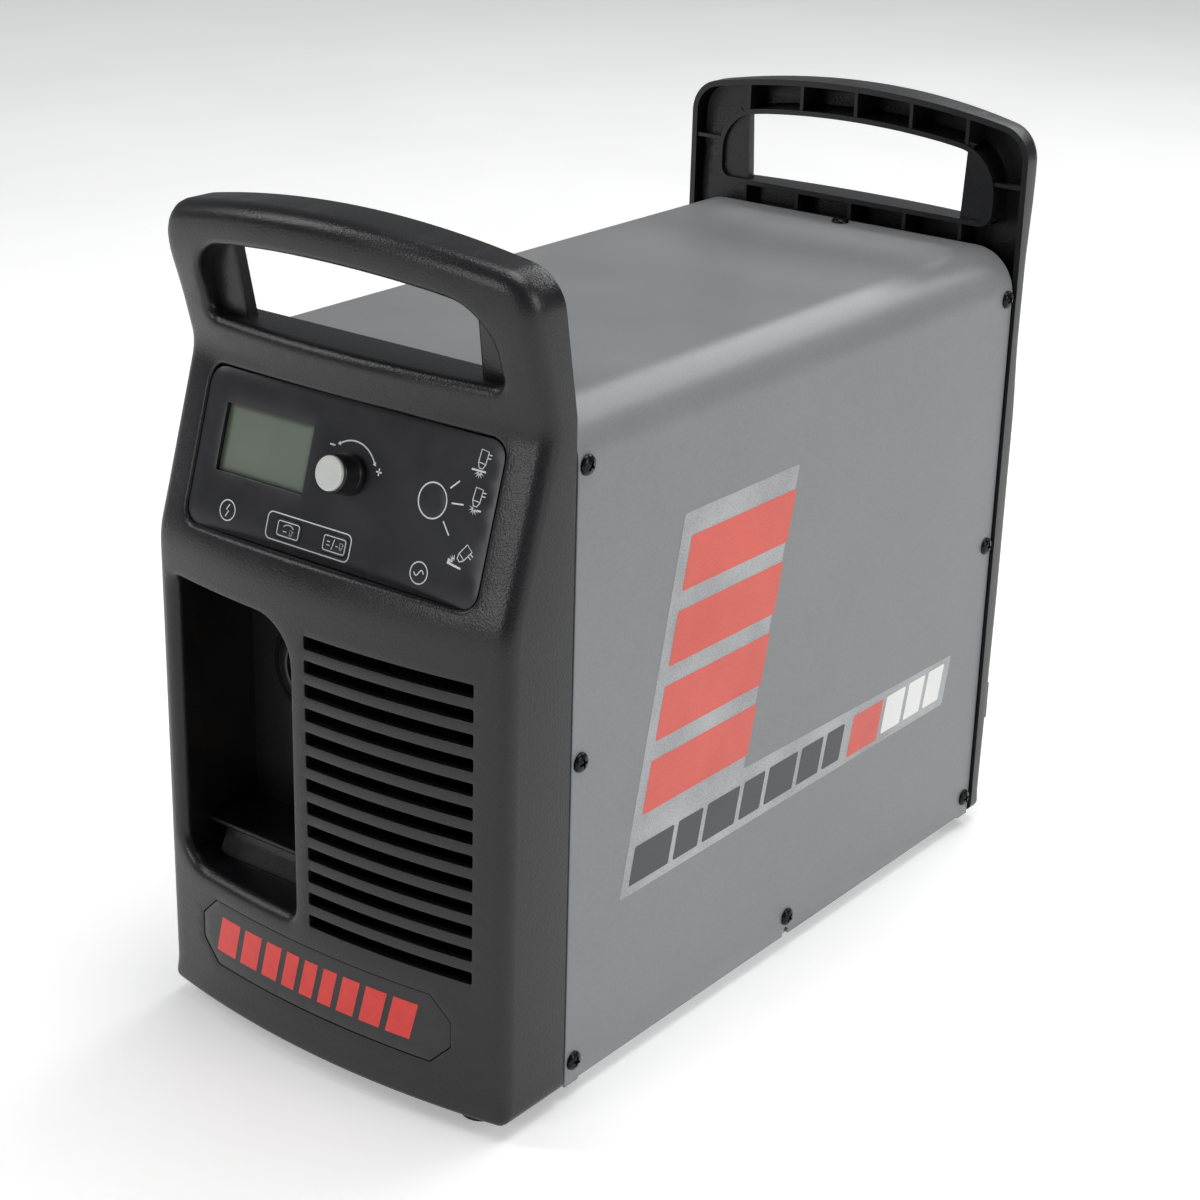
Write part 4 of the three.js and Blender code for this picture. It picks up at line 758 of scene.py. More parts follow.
COVER_NEAR, COVER_FAR = cover_low[1], cover_high[1]
TAB_LENGTH = 11.0
TAB_FOOT = cover_low[2]
SHEET_FOOT = FOOT + 0.2
NOTCH_Y = 9.0
NOTCH_HALF = 3.0
NOTCH_TOP = FOOT + 5.2

# Polyester powder coat: even mid grey, satin, with the faint orange peel of baked powder.
powder_grey = surface(
    "powder_coated_steel", "787a7c", "818385", (0.36, 0.43), 90.0, 1.3, 0.012, Specular_IOR_Level=0.5
)


def sheet_foot(y):
    """Height of the sheet's lower edge at a place along it."""
    if y < COVER_NEAR + TAB_LENGTH or y > COVER_FAR - TAB_LENGTH:
        return TAB_FOOT
    beside = abs(y - NOTCH_Y)
    if beside < NOTCH_HALF - 0.05:
        return NOTCH_TOP - NOTCH_HALF + math.sqrt(NOTCH_HALF**2 - beside**2)
    return SHEET_FOOT


def sheet_cover():
    tab = [COVER_NEAR + 1.5, COVER_NEAR + TAB_LENGTH - 0.4, COVER_NEAR + TAB_LENGTH + 0.4]
    notch = [NOTCH_Y + NOTCH_HALF * share for share in (-1.02, -0.97, -0.8, -0.5, 0, 0.5, 0.8, 0.97, 1.02)]
    far_tab = [COVER_FAR - TAB_LENGTH - 0.4, COVER_FAR - TAB_LENGTH + 0.4, COVER_FAR - 1.5]
    columns = [COVER_NEAR, *tab, -100.0, *notch, 110.0, *far_tab, COVER_FAR]
    section = cover_section(0.0, 20.0)
    points = []
    for y in columns:
        foot = sheet_foot(y)
        points.append((section[0][0], y, foot))
        points += [(x, y, z) for x, z in section]
        points.append((section[-1][0], y, foot))
    count = len(section) + 2
    faces = [
        (i * count + j, i * count + j + 1, (i + 1) * count + j + 1, (i + 1) * count + j)
        for i in range(len(columns) - 1)
        for j in range(count - 1)
    ]
    made = mesh_object("sheet_cover", points, faces, powder_grey, 60.0)
    outward_first = made.data.polygons[0].normal.x
    if outward_first > 0:
        made.data.flip_normals()
    thicken = made.modifiers.new("thicken", "SOLIDIFY")
    thicken.thickness = SHEET * MM
    thicken.offset = -1.0
    edge = made.modifiers.new("edge", "BEVEL")
    edge.width = 0.3 * MM
    edge.segments = 2
    edge.limit_method = "ANGLE"
    edge.angle_limit = math.radians(60)
    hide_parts("enclosure_cover")
    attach(made, "cabinet")


sheet_cover()

# ---- cover screws --------------------------------------------------------------------------
# Black-oxide pan heads with a cross recess: seven down each side and one on top near the rear.
# One head is made, and set at every screw place with its recess turned any way it stopped.

SCREW_RADIUS = 5.2
SCREW_HEIGHT = 3.0
CROSS_REACH = 2.7
CROSS_HALF = 0.62

# Black oxide over steel, oiled: dark and glossy, scuffed a little by the driver.
black_oxide = surface(
    "black_oxide_steel", "0a0a0b", "17171a", (0.16, 0.3), 4.0, 0.5, 0.01, Metallic=0.6
)


def circle(radius, step=1.0, x=0.0, z=0.0):
    count = max(12, math.ceil(2 * math.pi * radius / step))
    angles = np.arange(count) * 2 * math.pi / count
    return np.stack([x + radius * np.cos(angles), z + radius * np.sin(angles)], axis=-1)


def upright(across, up, out):
    return np.stack([across, up, out], axis=-1)


def screw_head():
    def dome(x, z):
        return SCREW_HEIGHT - 0.055 * (np.square(x) + np.square(z))

    a, b = CROSS_HALF, CROSS_REACH
    corners = [(b, -a), (b, a), (a, a), (a, b), (-a, b), (-a, a)]
    corners += [(-b, a), (-b, -a), (-a, -a), (-a, -b), (a, -b), (a, -a)]
    cross = rounded([(x, z, 0.15) for x, z in corners], 0.6)
    rim = Edge(circle(SCREW_RADIUS), 1.2, -1)
    rim.walls = [upright(rim.loop[:, 0], rim.loop[:, 1], np.full(len(rim.loop), 0.3))]
    recess = Edge(cross, 0.12, 1, 1)
    head = moulding([rim, recess], dome, 1.7, upright, 0.9)
    bed = Edge(circle(SCREW_RADIUS - 1.6), 0.1, -1, 1)
    floor = moulding([bed], flat(1.5), 1.1, upright, 1.5)
    return gathered(head, floor)


def repeated(name, template, places, material):
    """Copies of a template at every place and turn, made by Geometry Nodes as one plain mesh."""
    mesh = bpy.data.meshes.new(name)
    mesh.from_pydata([tuple(Vector(place) * MM) for place, _ in places], [], [])
    turns = mesh.attributes.new("turn", "FLOAT_VECTOR", "POINT")
    turns.data.foreach_set("vector", [angle for _, turn in places for angle in turn])
    holder = bpy.data.objects.new(name, mesh)
    bpy.context.scene.collection.objects.link(holder)
    tree = bpy.data.node_groups.new(name, "GeometryNodeTree")
    ports = tree.interface
    ports.new_socket("Places", in_out="INPUT", socket_type="NodeSocketGeometry")
    part = ports.new_socket("Part", in_out="INPUT", socket_type="NodeSocketObject")
    finish = ports.new_socket("Finish", in_out="INPUT", socket_type="NodeSocketMaterial")
    ports.new_socket("Copies", in_out="OUTPUT", socket_type="NodeSocketGeometry")
    given = tree.nodes.new("NodeGroupInput")
    shape = add(tree, "GeometryNodeObjectInfo", {"Object": given.outputs["Part"]})
    turn = add(tree, "GeometryNodeInputNamedAttribute", {"Name": "turn"}, data_type="FLOAT_VECTOR")
    facing = add(tree, "FunctionNodeEulerToRotation", {"Euler": turn.outputs["Attribute"]})
    copies = add(
        tree,
        "GeometryNodeInstanceOnPoints",
        {
            "Points": given.outputs["Places"],
            "Instance": shape.outputs["Geometry"],
            "Rotation": facing.outputs["Rotation"],
        },
    )
    real = add(tree, "GeometryNodeRealizeInstances", {"Geometry": copies.outputs["Instances"]})
    painted = add(
        tree,
        "GeometryNodeSetMaterial",
        {"Geometry": real.outputs["Geometry"], "Material": given.outputs["Finish"]},
    )
    add(tree, "NodeGroupOutput", {"Copies": painted.outputs["Geometry"]})
    modifier = holder.modifiers.new(name, "NODES")
    modifier.node_group = tree
    modifier[part.identifier] = template
    modifier[finish.identifier] = material
    evaluated = holder.evaluated_get(bpy.context.evaluated_depsgraph_get())
    plain = bpy.data.meshes.new_from_object(evaluated)
    holder.modifiers.remove(modifier)
    holder.data = plain
    plain.shade_smooth()
    plain.set_sharp_from_angle(angle=math.radians(40))
    bpy.data.objects.remove(template)
    return holder


def cover_screws():
    chance = random.Random(11)
    places, nodes = [], sorted(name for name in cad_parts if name.startswith("cover_screw"))
    for name in nodes:
        low, high = (np.array(corner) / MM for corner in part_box(name))
        middle = (low + high) / 2
        spin = chance.uniform(0, math.pi / 2)
        if name == "cover_screw_top":
            places.append(((middle[0], middle[1], COVER_TOP), (0.0, 0.0, spin)))
        else:
            side = 1 if middle[0] > 0 else -1
            place = (side * (HALF_WIDTH - COVER_INSET), middle[1], middle[2])
            turn = Matrix.Rotation(side * math.pi / 2, 3, "Y") @ Matrix.Rotation(spin, 3, "Z")
            places.append((place, tuple(turn.to_euler())))
    points, faces = screw_head()
    template = mesh_object("screw_head", points, faces, black_oxide)
    made = repeated("cover_screws", template, places, black_oxide)
    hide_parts(*nodes)
    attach(made, "cabinet")


cover_screws()


# ---- operator panel ------------------------------------------------------------------------
# A printed polyester film on a carrier, lying in the sloped recess. The liquid crystal display
# lies deeper, behind its frame, and three keys are embossed in the film.

LCD_LEFT, LCD_RIGHT = -PANEL_HALF + 14.0, -PANEL_HALF + 73.0
LCD_FOOT, LCD_TOP = -PANEL_LENGTH / 2 + 29.7, -PANEL_LENGTH / 2 + 63.7
LCD_LEVEL = -2.6
MODE_X, MODE_UP, MODE_RADIUS = PANEL_HALF - 37.0, -PANEL_LENGTH / 2 + 45.4, 7.7
KEY_UP, KEY_HALF_WIDTH, KEY_HALF_HEIGHT = -PANEL_LENGTH / 2 + 11.3, 8.0, 4.6
PRESSURE_X, UNITS_X = -26.0, 4.5
KNOB_X, KNOB_UP = LCD_RIGHT + 27.5, -PANEL_LENGTH / 2 + 46.0
KEY_GAP = 0.12

# Printed polyester film, second surface inked: blue-black, with a very fine velvet emboss.
panel_film = surface("printed_polyester_film", "19191e", "212127", (0.3, 0.38), 30.0, 0.5, 0.006)
# Moulded display carrier, matt black so that it throws no light on the glass.
display_black = surface("matt_display_frame", "0c0c0e", "131315", (0.6, 0.7), 10.0, 0.6, 0.01)


def display_glass():
    """Reflective liquid crystal cell: green-grey, darker towards its edges, partly from its sealed border and partly
    from painted shade standing in for the shadow of the recess around it.
    """
    made = surface("liquid_crystal_glass", "6c7569", "727b70", (0.16, 0.2), 25.0, 0.35, 0.001)
    tree = made.node_tree
    shader = tree.nodes["Principled BSDF"]
    ink = shader.inputs["Base Color"].links[0].from_socket
    place = add(tree, "ShaderNodeUVMap", uv_map="cell")
    split = add(tree, "ShaderNodeSeparateXYZ", {"Vector": place.outputs["UV"]})
    edges = []
    for axis in ("X", "Y"):
        away = add(tree, "ShaderNodeMath", {0: split.outputs[axis], 1: 0.5}, operation="SUBTRACT")
        away = add(tree, "ShaderNodeMath", {0: away.outputs[0]}, operation="ABSOLUTE")
        edges.append(add(tree, "ShaderNodeMath", {0: away.outputs[0], 1: 2.0}, operation="MULTIPLY"))
    far = add(tree, "ShaderNodeMath", {0: edges[0].outputs[0], 1: edges[1].outputs[0]}, operation="MAXIMUM")
    # Darkening towards every edge of the cell: its real sealed border, plus painted shade for the shadow that the
    # recess walls cast on the glass.
    shade = add(
        tree,
        "ShaderNodeMapRange",
        {"Value": far.outputs[0], "From Min": 0.84, "From Max": 1.0, "To Min": 0.0, "To Max": 0.55},
        interpolation_type="SMOOTHSTEP",
    )
    dark = add(
        tree,
        "ShaderNodeMix",
        {"Factor": shade.outputs["Result"], MIX_A: ink, MIX_B: linear("23291f")},
        data_type="RGBA",
    )
    tree.links.new(dark.outputs[MIX_RESULT], shader.inputs["Base Color"])
    shader.inputs["Coat Weight"].default_value = 0.6
    shader.inputs["Coat Roughness"].default_value = 0.05
    return made


def piece(name, solid, material, body="cabinet", nodes=(), smooth=40.0):
    """A finished piece from points and faces, with its finish, its body and what it stands for."""
    made = mesh_object(name, *solid, material, smooth)
    if nodes:
        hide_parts(*nodes)
    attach(made, body)
    return made


def pressed(loop, radius, level, thickness, place, grid=4.0):
    """A plate with rounded front edges whose face is at the level."""
    return moulding([Edge(loop, radius, -1, 3)], flat(level), thickness, place, grid)


def operator_panel():
    half = PANEL_LENGTH / 2 - 0.3
    side = PANEL_HALF - 0.3
    rim = Edge(rectangle(-side, side, -half, half, PANEL_CORNER), 0.35, -1, 2)
    window = Edge(rectangle(LCD_LEFT, LCD_RIGHT, LCD_FOOT, LCD_TOP, 1.0), 0.3, 1, 2)
    knob_hole = Edge(circle(6.0, 1.0, KNOB_X, KNOB_UP), 0.2, 1, 1)
    mode_hole = Edge(circle(MODE_RADIUS + 0.3, 1.0, MODE_X, MODE_UP), 0.15, 1, 1)
    key_holes = [Edge(key_loop(x, 0.3), 0.15, 1, 1) for x in (PRESSURE_X, UNITS_X)]
    sheet = moulding([rim, window, knob_hole, mode_hole, *key_holes], flat(0.0), PANEL_SHEET, on_panel, 8.0)
    piece("operator_panel_film", sheet, panel_film, "cabinet", ["control_overlay"])

    frame_loop = rectangle(LCD_LEFT - 4, LCD_RIGHT + 4, LCD_FOOT - 4, LCD_TOP + 4, 3.0)
    sight = Edge(rectangle(LCD_LEFT - 0.3, LCD_RIGHT + 0.3, LCD_FOOT - 0.3, LCD_TOP + 0.3, 0.6), 0.2, 1, 1)
    carrier = moulding([Edge(frame_loop, 0.3, -1, 1), sight], flat(-1.5), 3.0, on_panel, 6.0)
    piece("display_frame", carrier, display_black, "cabinet", ["display_module"])

    glass_loop = rectangle(LCD_LEFT - 0.2, LCD_RIGHT + 0.2, LCD_FOOT - 0.2, LCD_TOP + 0.2, 0.4)
    glass = pressed(glass_loop, 0.1, LCD_LEVEL, 1.1, on_panel)
    cell = piece("display_cell", glass, display_glass(), "cabinet", ["display_window"])
    spread = cell.data.uv_layers.new(name="cell")
    for corner in cell.data.loops:
        away = np.array(cell.data.vertices[corner.vertex_index].co) / MM - panel_centre
        across = (away @ panel_across - LCD_LEFT) / (LCD_RIGHT - LCD_LEFT)
        up = (away @ panel_up - LCD_FOOT) / (LCD_TOP - LCD_FOOT)
        spread.data[corner.index].uv = (across, up)


def key_loop(x, grow):
    wide, tall = KEY_HALF_WIDTH + grow, KEY_HALF_HEIGHT + grow
    return rectangle(x - wide, x + wide, KEY_UP - tall, KEY_UP + tall, 2.0 + grow, 2.0)


def panel_keys():
    mode = pressed(circle(MODE_RADIUS + KEY_GAP, 1.0, MODE_X, MODE_UP), 0.2, 0.25, 1.1, on_panel)
    piece("mode_key", mode, panel_film, "mode_key", ["mode_button"])
    pressure = pressed(key_loop(PRESSURE_X, KEY_GAP), 0.2, 0.25, 1.1, on_panel)
    piece("pressure_key", pressure, panel_film, "pressure_key", ["pressure_button"])
    units = pressed(key_loop(UNITS_X, KEY_GAP), 0.2, 0.25, 1.1, on_panel)
    piece("units_key", units, panel_film, "units_key", ["units_button"])


operator_panel()
panel_keys()

# ---- prints on the panel -------------------------------------------------------------------
# Screen-printed pictograms in light grey ink: the key frame, two indicator rings, the dial's
# arrow with its signs, the mode rays and three torch pictograms. There is no lettering.

LINE = 0.62
INK_LEVEL = 0.05
KEY_INK_LEVEL = 0.3

# Light grey screen ink: matt, slightly uneven where the mesh let less through.
screen_ink = surface("screen_printed_ink", "c9cbc9", "dcdedb", (0.5, 0.6), 6.0, 0.3, 0.004)


def arc(x, up, radius, start, end, step=0.6):
    """Points along an arc, its angles in degrees."""
    count = max(4, math.ceil(abs(math.radians(end - start)) * radius / step))
    angles = np.radians(np.linspace(start, end, count + 1))
    return np.stack([x + radius * np.cos(angles), up + radius * np.sin(angles)], axis=-1)


def ribbon(path, width=LINE, closed=False):
    """Quads of an inked line along a path."""
    path = np.asarray(path, float)
    if closed:
        ahead, behind = np.roll(path, -1, axis=0), np.roll(path, 1, axis=0)
    else:
        ahead = np.concatenate([path[1:], path[-1:]])
        behind = np.concatenate([path[:1], path[:-1]])
    along = ahead - behind
    along = along / np.linalg.norm(along, axis=1, keepdims=True)
    aside = np.stack([-along[:, 1], along[:, 0]], axis=-1) * width / 2
    left, right = path + aside, path - aside
    last = len(path) if closed else len(path) - 1
    quads = []
    for i in range(last):
        j = (i + 1) % len(path)
        quads.append([right[i], right[j], left[j], left[i]])
    return quads


def moved(polygons, x, up, degrees=0.0, size=1.0):
    """Polygons drawn about the origin, turned, scaled and put in place."""
    a = math.radians(degrees)
    turn = np.array([[math.cos(a), -math.sin(a)], [math.sin(a), math.cos(a)]]) * size
    return [[turn @ np.asarray(point) + (x, up) for point in polygon] for polygon in polygons]


def torch_sign():
    """A cutting torch seen from the side, its tip pointing down."""
    body = [(-2.3, 5.0), (2.3, 5.0), (2.3, -1.6), (1.1, -4.0), (-1.1, -4.0), (-2.3, -1.6)]
    marks = ribbon(body, 0.55, True)
    marks += ribbon([(-2.3, -1.4), (2.3, -1.4)], 0.45)
    for up in (3.6, 1.8):
        marks += ribbon([(2.3, up), (4.6, up + 0.3)], 0.55)
    return marks


def spark_sign(start, end, count=5, reach=3.4):
    """Sparks fanned out from the origin."""
    marks = []
    for angle in np.radians(np.linspace(start, end, count)):
        way = np.array([math.cos(angle), math.sin(angle)])
        aside = np.array([-way[1], way[0]]) * 0.42
        marks.append([way * 0.5 - aside, way * reach, way * 0.5 + aside])
    return marks


def arrow_head(x, up, degrees, size=1.5):
    return moved([[(0.0, -0.75), (1.3, 0.0), (0.0, 0.75)]], x, up, degrees, size)


def panel_marks():
    frame_loop = rectangle(-40.5, 14.5, KEY_UP - 6.6, KEY_UP + 6.8, 3.0, 2.0)
    marks = ribbon(frame_loop, LINE, True)
    marks += ribbon(arc(-67.8, -28.8, 5.1, 0, 345), LINE, True)
    marks += ribbon([(-66.9, -25.6), (-68.6, -28.4), (-67.0, -29.0), (-68.7, -32.0)], 0.6)
    marks += ribbon(arc(58.3, -29.7, 5.2, 0, 345), LINE, True)
    wave = [(58.3 + x, -29.7 + 1.5 * math.sin(x * 1.05)) for x in np.linspace(-3.0, 3.0, 17)]
    marks += ribbon(wave, 0.6)
    marks += ribbon(arc(MODE_X, MODE_UP, MODE_RADIUS + 0.75, 0, 355), 0.75, True)
    for start, end in (((66.9, 12.7), (71.6, 17.2)), ((69.4, 6.2), (76.4, 7.0)), ((66.6, -3.0), (71.4, -8.7))):
        marks += ribbon([start, end], 0.75)
    dial = arc(KNOB_X, KNOB_UP, 16.2, 124, 32)
    marks += ribbon(dial, 0.75)
    marks += arrow_head(*dial[0], 124 + 78) + arrow_head(*dial[-1], 32 - 78)
    minus, plus = arc(KNOB_X, KNOB_UP, 18.2, 140, 16, 100.0)[[0, -1]]
    marks += ribbon([minus - (1.7, 0), minus + (1.7, 0)], 0.75)
    marks += ribbon([plus - (1.8, 0), plus + (1.8, 0)], 0.75)
    marks += ribbon([plus - (0, 1.8), plus + (0, 1.8)], 0.75)
    marks += moved(torch_sign(), 82.4, 29.2, -6, 0.95)
    marks += moved(ribbon([(-4.6, 0.0), (3.8, 0.0)], 0.9), 81.6, 24.2)
    marks += moved(spark_sign(205, 335), 81.8, 23.6, 0, 0.95)
    marks += moved(torch_sign(), 83.4, 11.6, -6, 0.95)
    marks += moved(spark_sign(165, 330, 6), 82.8, 6.6, 0, 0.95)
    marks += moved(ribbon([(1.6, 0.0), (4.2, 0.0)], 0.8), 82.8, 6.2)
    marks += moved(torch_sign(), 82.0, -15.4, -38, 0.95)
    marks += moved(spark_sign(95, 190, 5), 77.2, -19.6, 0, 1.05)
    marks += moved([[(-4.6, -1.0), (4.0, -1.0), (4.0, 0.0), (-4.6, 0.0)]], 78.0, -21.0, -8)
    marks += moved([[(-4.6, 0.0), (-2.6, 0.0), (-2.6, 1.6), (-4.6, 1.6)]], 78.0, -21.0, -8)
    return marks


def key_marks(x):
    outline = key_loop(x, -1.0)
    return ribbon(outline, 0.5, True)


def inked(name, polygons, level, body):
    """A print: thin ink lying on the panel."""
    points, faces = [], []
    for polygon in polygons:
        faces.append(tuple(range(len(points), len(points) + len(polygon))))
        points += [(p[0], p[1]) for p in polygon]
    points = np.array(points)
    place = on_panel(points[:, 0], points[:, 1], np.full(len(points), level))
    mesh = bpy.data.meshes.new(name)
    mesh.from_pydata((place * MM).tolist(), [], faces)
    mesh.materials.append(screen_ink)
    if sum(face.normal.y for face in mesh.polygons) > 0:
        mesh.flip_normals()
    made = bpy.data.objects.new(name, mesh)
    bpy.context.scene.collection.objects.link(made)
    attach(made, body)
    return made


def small_torch(x, up, size=0.42):
    return moved(torch_sign(), x, up, 0, size)


inked("panel_prints", panel_marks(), INK_LEVEL, "cabinet")
pressure_marks = key_marks(PRESSURE_X) + small_torch(PRESSURE_X + 2.0, KEY_UP - 1.5, 0.32)
pressure_marks += ribbon(arc(PRESSURE_X, KEY_UP - 2.4, 4.8, 135, 45), 0.4)
pressure_marks += ribbon([(PRESSURE_X - 3.2, KEY_UP - 1.2), (PRESSURE_X - 0.8, KEY_UP - 1.2)], 0.4)
inked("pressure_key_print", pressure_marks, KEY_INK_LEVEL, "pressure_key")
units_marks = key_marks(UNITS_X) + small_torch(UNITS_X + 4.4, KEY_UP - 0.2, 0.36)
units_marks += ribbon([(UNITS_X - 1.4, KEY_UP - 2.6), (UNITS_X - 0.2, KEY_UP + 2.6)], 0.45)
units_marks += ribbon([(UNITS_X + 1.0, KEY_UP - 0.4), (UNITS_X + 2.6, KEY_UP - 0.4)], 0.4)
for up in (-0.9, 0.9):
    units_marks += ribbon([(UNITS_X - 4.8, KEY_UP + up), (UNITS_X - 2.8, KEY_UP + up)], 0.45)
inked("units_key_print", units_marks, KEY_INK_LEVEL, "units_key")

# ---- adjustment knob -----------------------------------------------------------------------
# A moulded push-on knob: a black skirted body with a pressed-in light cap.

# Unfilled moulded nylon: black, satin, polished by fingers at the edge.
knob_black = surface("moulded_black_nylon", "121213", "1b1b1d", (0.28, 0.38), 8.0, 0.4, 0.004)
# Moulded acetal cap: warm light grey, satin.
cap_grey = surface("moulded_grey_acetal", "c6c8c4", "d2d4d0", (0.35, 0.45), 12.0, 0.5, 0.003)


def turned(profile, x, z, place, segments=56):
    """A turned piece about an axis at (x, z). Its profile is (radius, height out) pairs, and it
    starts and ends on the axis or closes on itself."""
    points, rings = [], []
    angles = np.arange(segments) * 2 * math.pi / segments
    for radius, out in profile:
        if radius == 0:
            rings.append(np.full(segments, sum(len(p) for p in points)))
            points.append(place(np.array([x]), np.array([z]), np.array([float(out)])))
            continue
        rings.append(np.arange(segments) + sum(len(p) for p in points))
        ring = (x + radius * np.cos(angles), z + radius * np.sin(angles))
        points.append(place(*ring, np.full(segments, float(out))))
    faces = []
    closed = profile[0][0] > 0
    for k in range(len(rings) if closed else len(rings) - 1):
        for quad in strip(rings[k], rings[(k + 1) % len(rings)]):
            corners = tuple(dict.fromkeys(quad))
            if len(corners) > 2:
                faces.append(corners)
    return np.concatenate(points), faces


knob_profile = [(0, 0.4), (9.6, 0.4), (10.3, 0.7), (10.4, 1.4), (10.4, 3.4), (10.1, 3.9), (9.9, 4.4)]
knob_profile += [(9.7, 12.6), (9.5, 13.5), (9.1, 13.95), (8.8, 13.9), (8.75, 13.4), (0, 13.4)]
piece(
    "knob_body", turned(knob_profile, KNOB_X, KNOB_UP, on_panel), knob_black, "knob",
    ["adjustment_knob"],
)
cap_profile = [(0, 13.6), (8.5, 13.6), (8.55, 14.6), (8.3, 15.2), (7.7, 15.5), (6.6, 15.4), (0, 15.2)]
piece("knob_face", turned(cap_profile, KNOB_X, KNOB_UP, on_panel), cap_grey, "knob", ["knob_cap"])

# ---- connector pocket ----------------------------------------------------------------------
# A moulded tray behind the opening: straight walls, a ledge over a sloping scoop, and a rear
# wall that holds the round torch socket and the brass work lead socket.

TRAY_LEVEL = 191.0
TRAY_FRONT = -FACE_Y - 14.3
torch_low, torch_high = (np.array(corner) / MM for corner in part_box("torch_receptacle"))
TORCH_X, TORCH_Z = (torch_low[0] + torch_high[0]) / 2, (torch_low[2] + torch_high[2]) / 2
lead_low, lead_high = (np.array(corner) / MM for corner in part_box("work_lead_socket"))
LEAD_X, LEAD_Z = (lead_low[0] + lead_high[0]) / 2, (lead_low[2] + lead_high[2]) / 2
SHELF_TOP = OPENING_FOOT + 19.0
SHELF_DEPTH = 36.0


def loop_band(inner, outer, near, far, place):
    """A wall between two loops, from one level to another."""
    rings = [
        place(loop[:, 0], loop[:, 1], np.full(len(loop), level))
        for loop, level in ((inner, near), (inner, far), (outer, far), (outer, near))
    ]
    count = len(inner)
    faces = []
    for k in range(4):
        faces += strip(np.arange(count) + k * count, np.arange(count) + ((k + 1) % 4) * count)
    return np.concatenate(rings), faces


def extruded(profile, left, right):
    """A section drawn in (forward, up), carried from left to right."""
    left_ring = [(left, -out, z) for out, z in profile]
    right_ring = [(right, -out, z) for out, z in profile]
    count = len(profile)
    faces = strip(np.arange(count), np.arange(count) + count)
    faces += [tuple(range(count))[::-1], tuple(range(count, 2 * count))]
    return np.array(left_ring + right_ring), faces


def connector_pocket():
    loop = pocket_outline(0.15)
    walls = loop_band(loop, loop + outward(loop) * 2.3, TRAY_FRONT, TRAY_LEVEL - 1, facing_front)
    rim = Edge(loop + outward(loop) * 2.0, 0.2, -1, 1)
    torch_hole = Edge(circle(22.3, 2.0, TORCH_X, TORCH_Z), 0.4, 1, 1)
    lead_hole = Edge(circle(11.3, 1.5, LEAD_X, LEAD_Z), 0.3, 1, 1)
    rear = moulding([rim, torch_hole, lead_hole], flat(TRAY_LEVEL), 2.4, facing_front, 6.0)
    near = TRAY_LEVEL + SHELF_DEPTH
    ledge = rounded(
        [(TRAY_LEVEL - 1, SHELF_TOP - 2.8, 0), (near, SHELF_TOP - 3.6, 1.3), (near, SHELF_TOP - 0.4, 1.3),
         (TRAY_LEVEL - 1, SHELF_TOP, 0)], 3.0
    )  # fmt: skip
    scoop = rounded(
        [(TRAY_LEVEL - 1, OPENING_FOOT - 1.5, 0), (TRAY_FRONT, OPENING_FOOT - 1.5, 0),
         (TRAY_FRONT, OPENING_FOOT + 0.6, 0), (near - 3, SHELF_TOP - 9, 9), (near - 4, SHELF_TOP - 3, 0),
         (TRAY_LEVEL - 1, SHELF_TOP - 3, 0)], 2.0
    )  # fmt: skip
    shelf = extruded(ledge, POCKET_LEFT + 0.2, POCKET_RIGHT - 0.2)
    riser = extruded(scoop, POCKET_LEFT + 9, POCKET_RIGHT - 0.2)
    solid = gathered(walls, rear, shelf, riser)
    piece("connector_pocket_tray", solid, moulded_black, "cabinet", ["connector_tray"])


connector_pocket()

# Turned and threaded collar of the torch socket in glossy black phenolic.
socket_black = surface("glossy_black_phenolic", "0b0b0c", "131314", (0.14, 0.24), 12.0, 0.5, 0.004)
# Turned brass, bright where it is new, with faint rings from the tool.
turned_brass = surface("turned_brass", "a8873f", "c9a85c", (0.2, 0.32), 6.0, 0.35, 0.004, Metallic=1.0)


def sockets():
    base = TRAY_LEVEL
    bore = [(17.5, base + 3.0)]
    for turn in range(6):
        depth = base + 1.4 - turn * 4.0
        bore += [(17.5, depth), (18.4, depth - 0.8), (18.4, depth - 1.6), (17.5, depth - 2.4)]
    flange = [(28.0, base + 0.3), (28.0, base + 1.6), (27.2, base + 2.4), (24.5, base + 2.6)]
    flange += [(24.0, base + 1.9), (22.6, base + 1.9), (22.0, base + 3.2), (18.6, base + 3.3)]
    outer = [(0, base - 34), (22.0, base - 34), (22.0, base + 0.3), *flange, *bore]
    outer += [(17.5, base - 28), (0, base - 28)]
    solid = turned(outer, TORCH_X, TORCH_Z, facing_front, 64)
    piece("torch_socket", solid, socket_black, "cabinet", ["torch_receptacle"])
    lead = [(0, base - 24), (11.0, base - 24), (11.0, base + 0.3), (13.6, base + 0.3), (14.0, base + 0.8)]
    lead += [(14.0, base + 2.6), (13.2, base + 3.6), (11.5, base + 4.2), (7.0, base + 4.3), (6.2, base + 3.8)]
    lead += [(6.0, base + 3.0), (6.0, base - 18), (0, base - 18)]
    piece(
        "work_lead_ring", turned(lead, LEAD_X, LEAD_Z, facing_front), turned_brass, "cabinet",
        ["work_lead_socket"],
    )


sockets()

# ---- badge ---------------------------------------------------------------------------------
# A moulded name plate lying in its eight-sided recess. Its marking is a plain run of slanted
# red bars, printed, in place of the maker's own.

BAR_FOOT, BAR_TOP = 43.5, 65.0
BAR_SLANT = 5.5
BARS = ((-75, 15), (-56, 13), (-39, 11), (-24, 9), (-11, 9), (2, 9), (15, 11), (30, 13), (47, 15))

# Moulded plate in glossier black acrylic-styrene, with a fine texture between polished edges.
badge_black = surface("moulded_badge_black", "131214", "1e1d1f", (0.26, 0.36), 14.0, 0.5, 0.02)
# Pad-printed red enamel: opaque, satin, a little thinner at the edge of each pass.
badge_red = surface("pad_printed_red", "cf2d27", "e23a31", (0.3, 0.4), 9.0, 0.4, 0.006)


def badge_level(x, z):
    return front_height(x, z) - 0.2


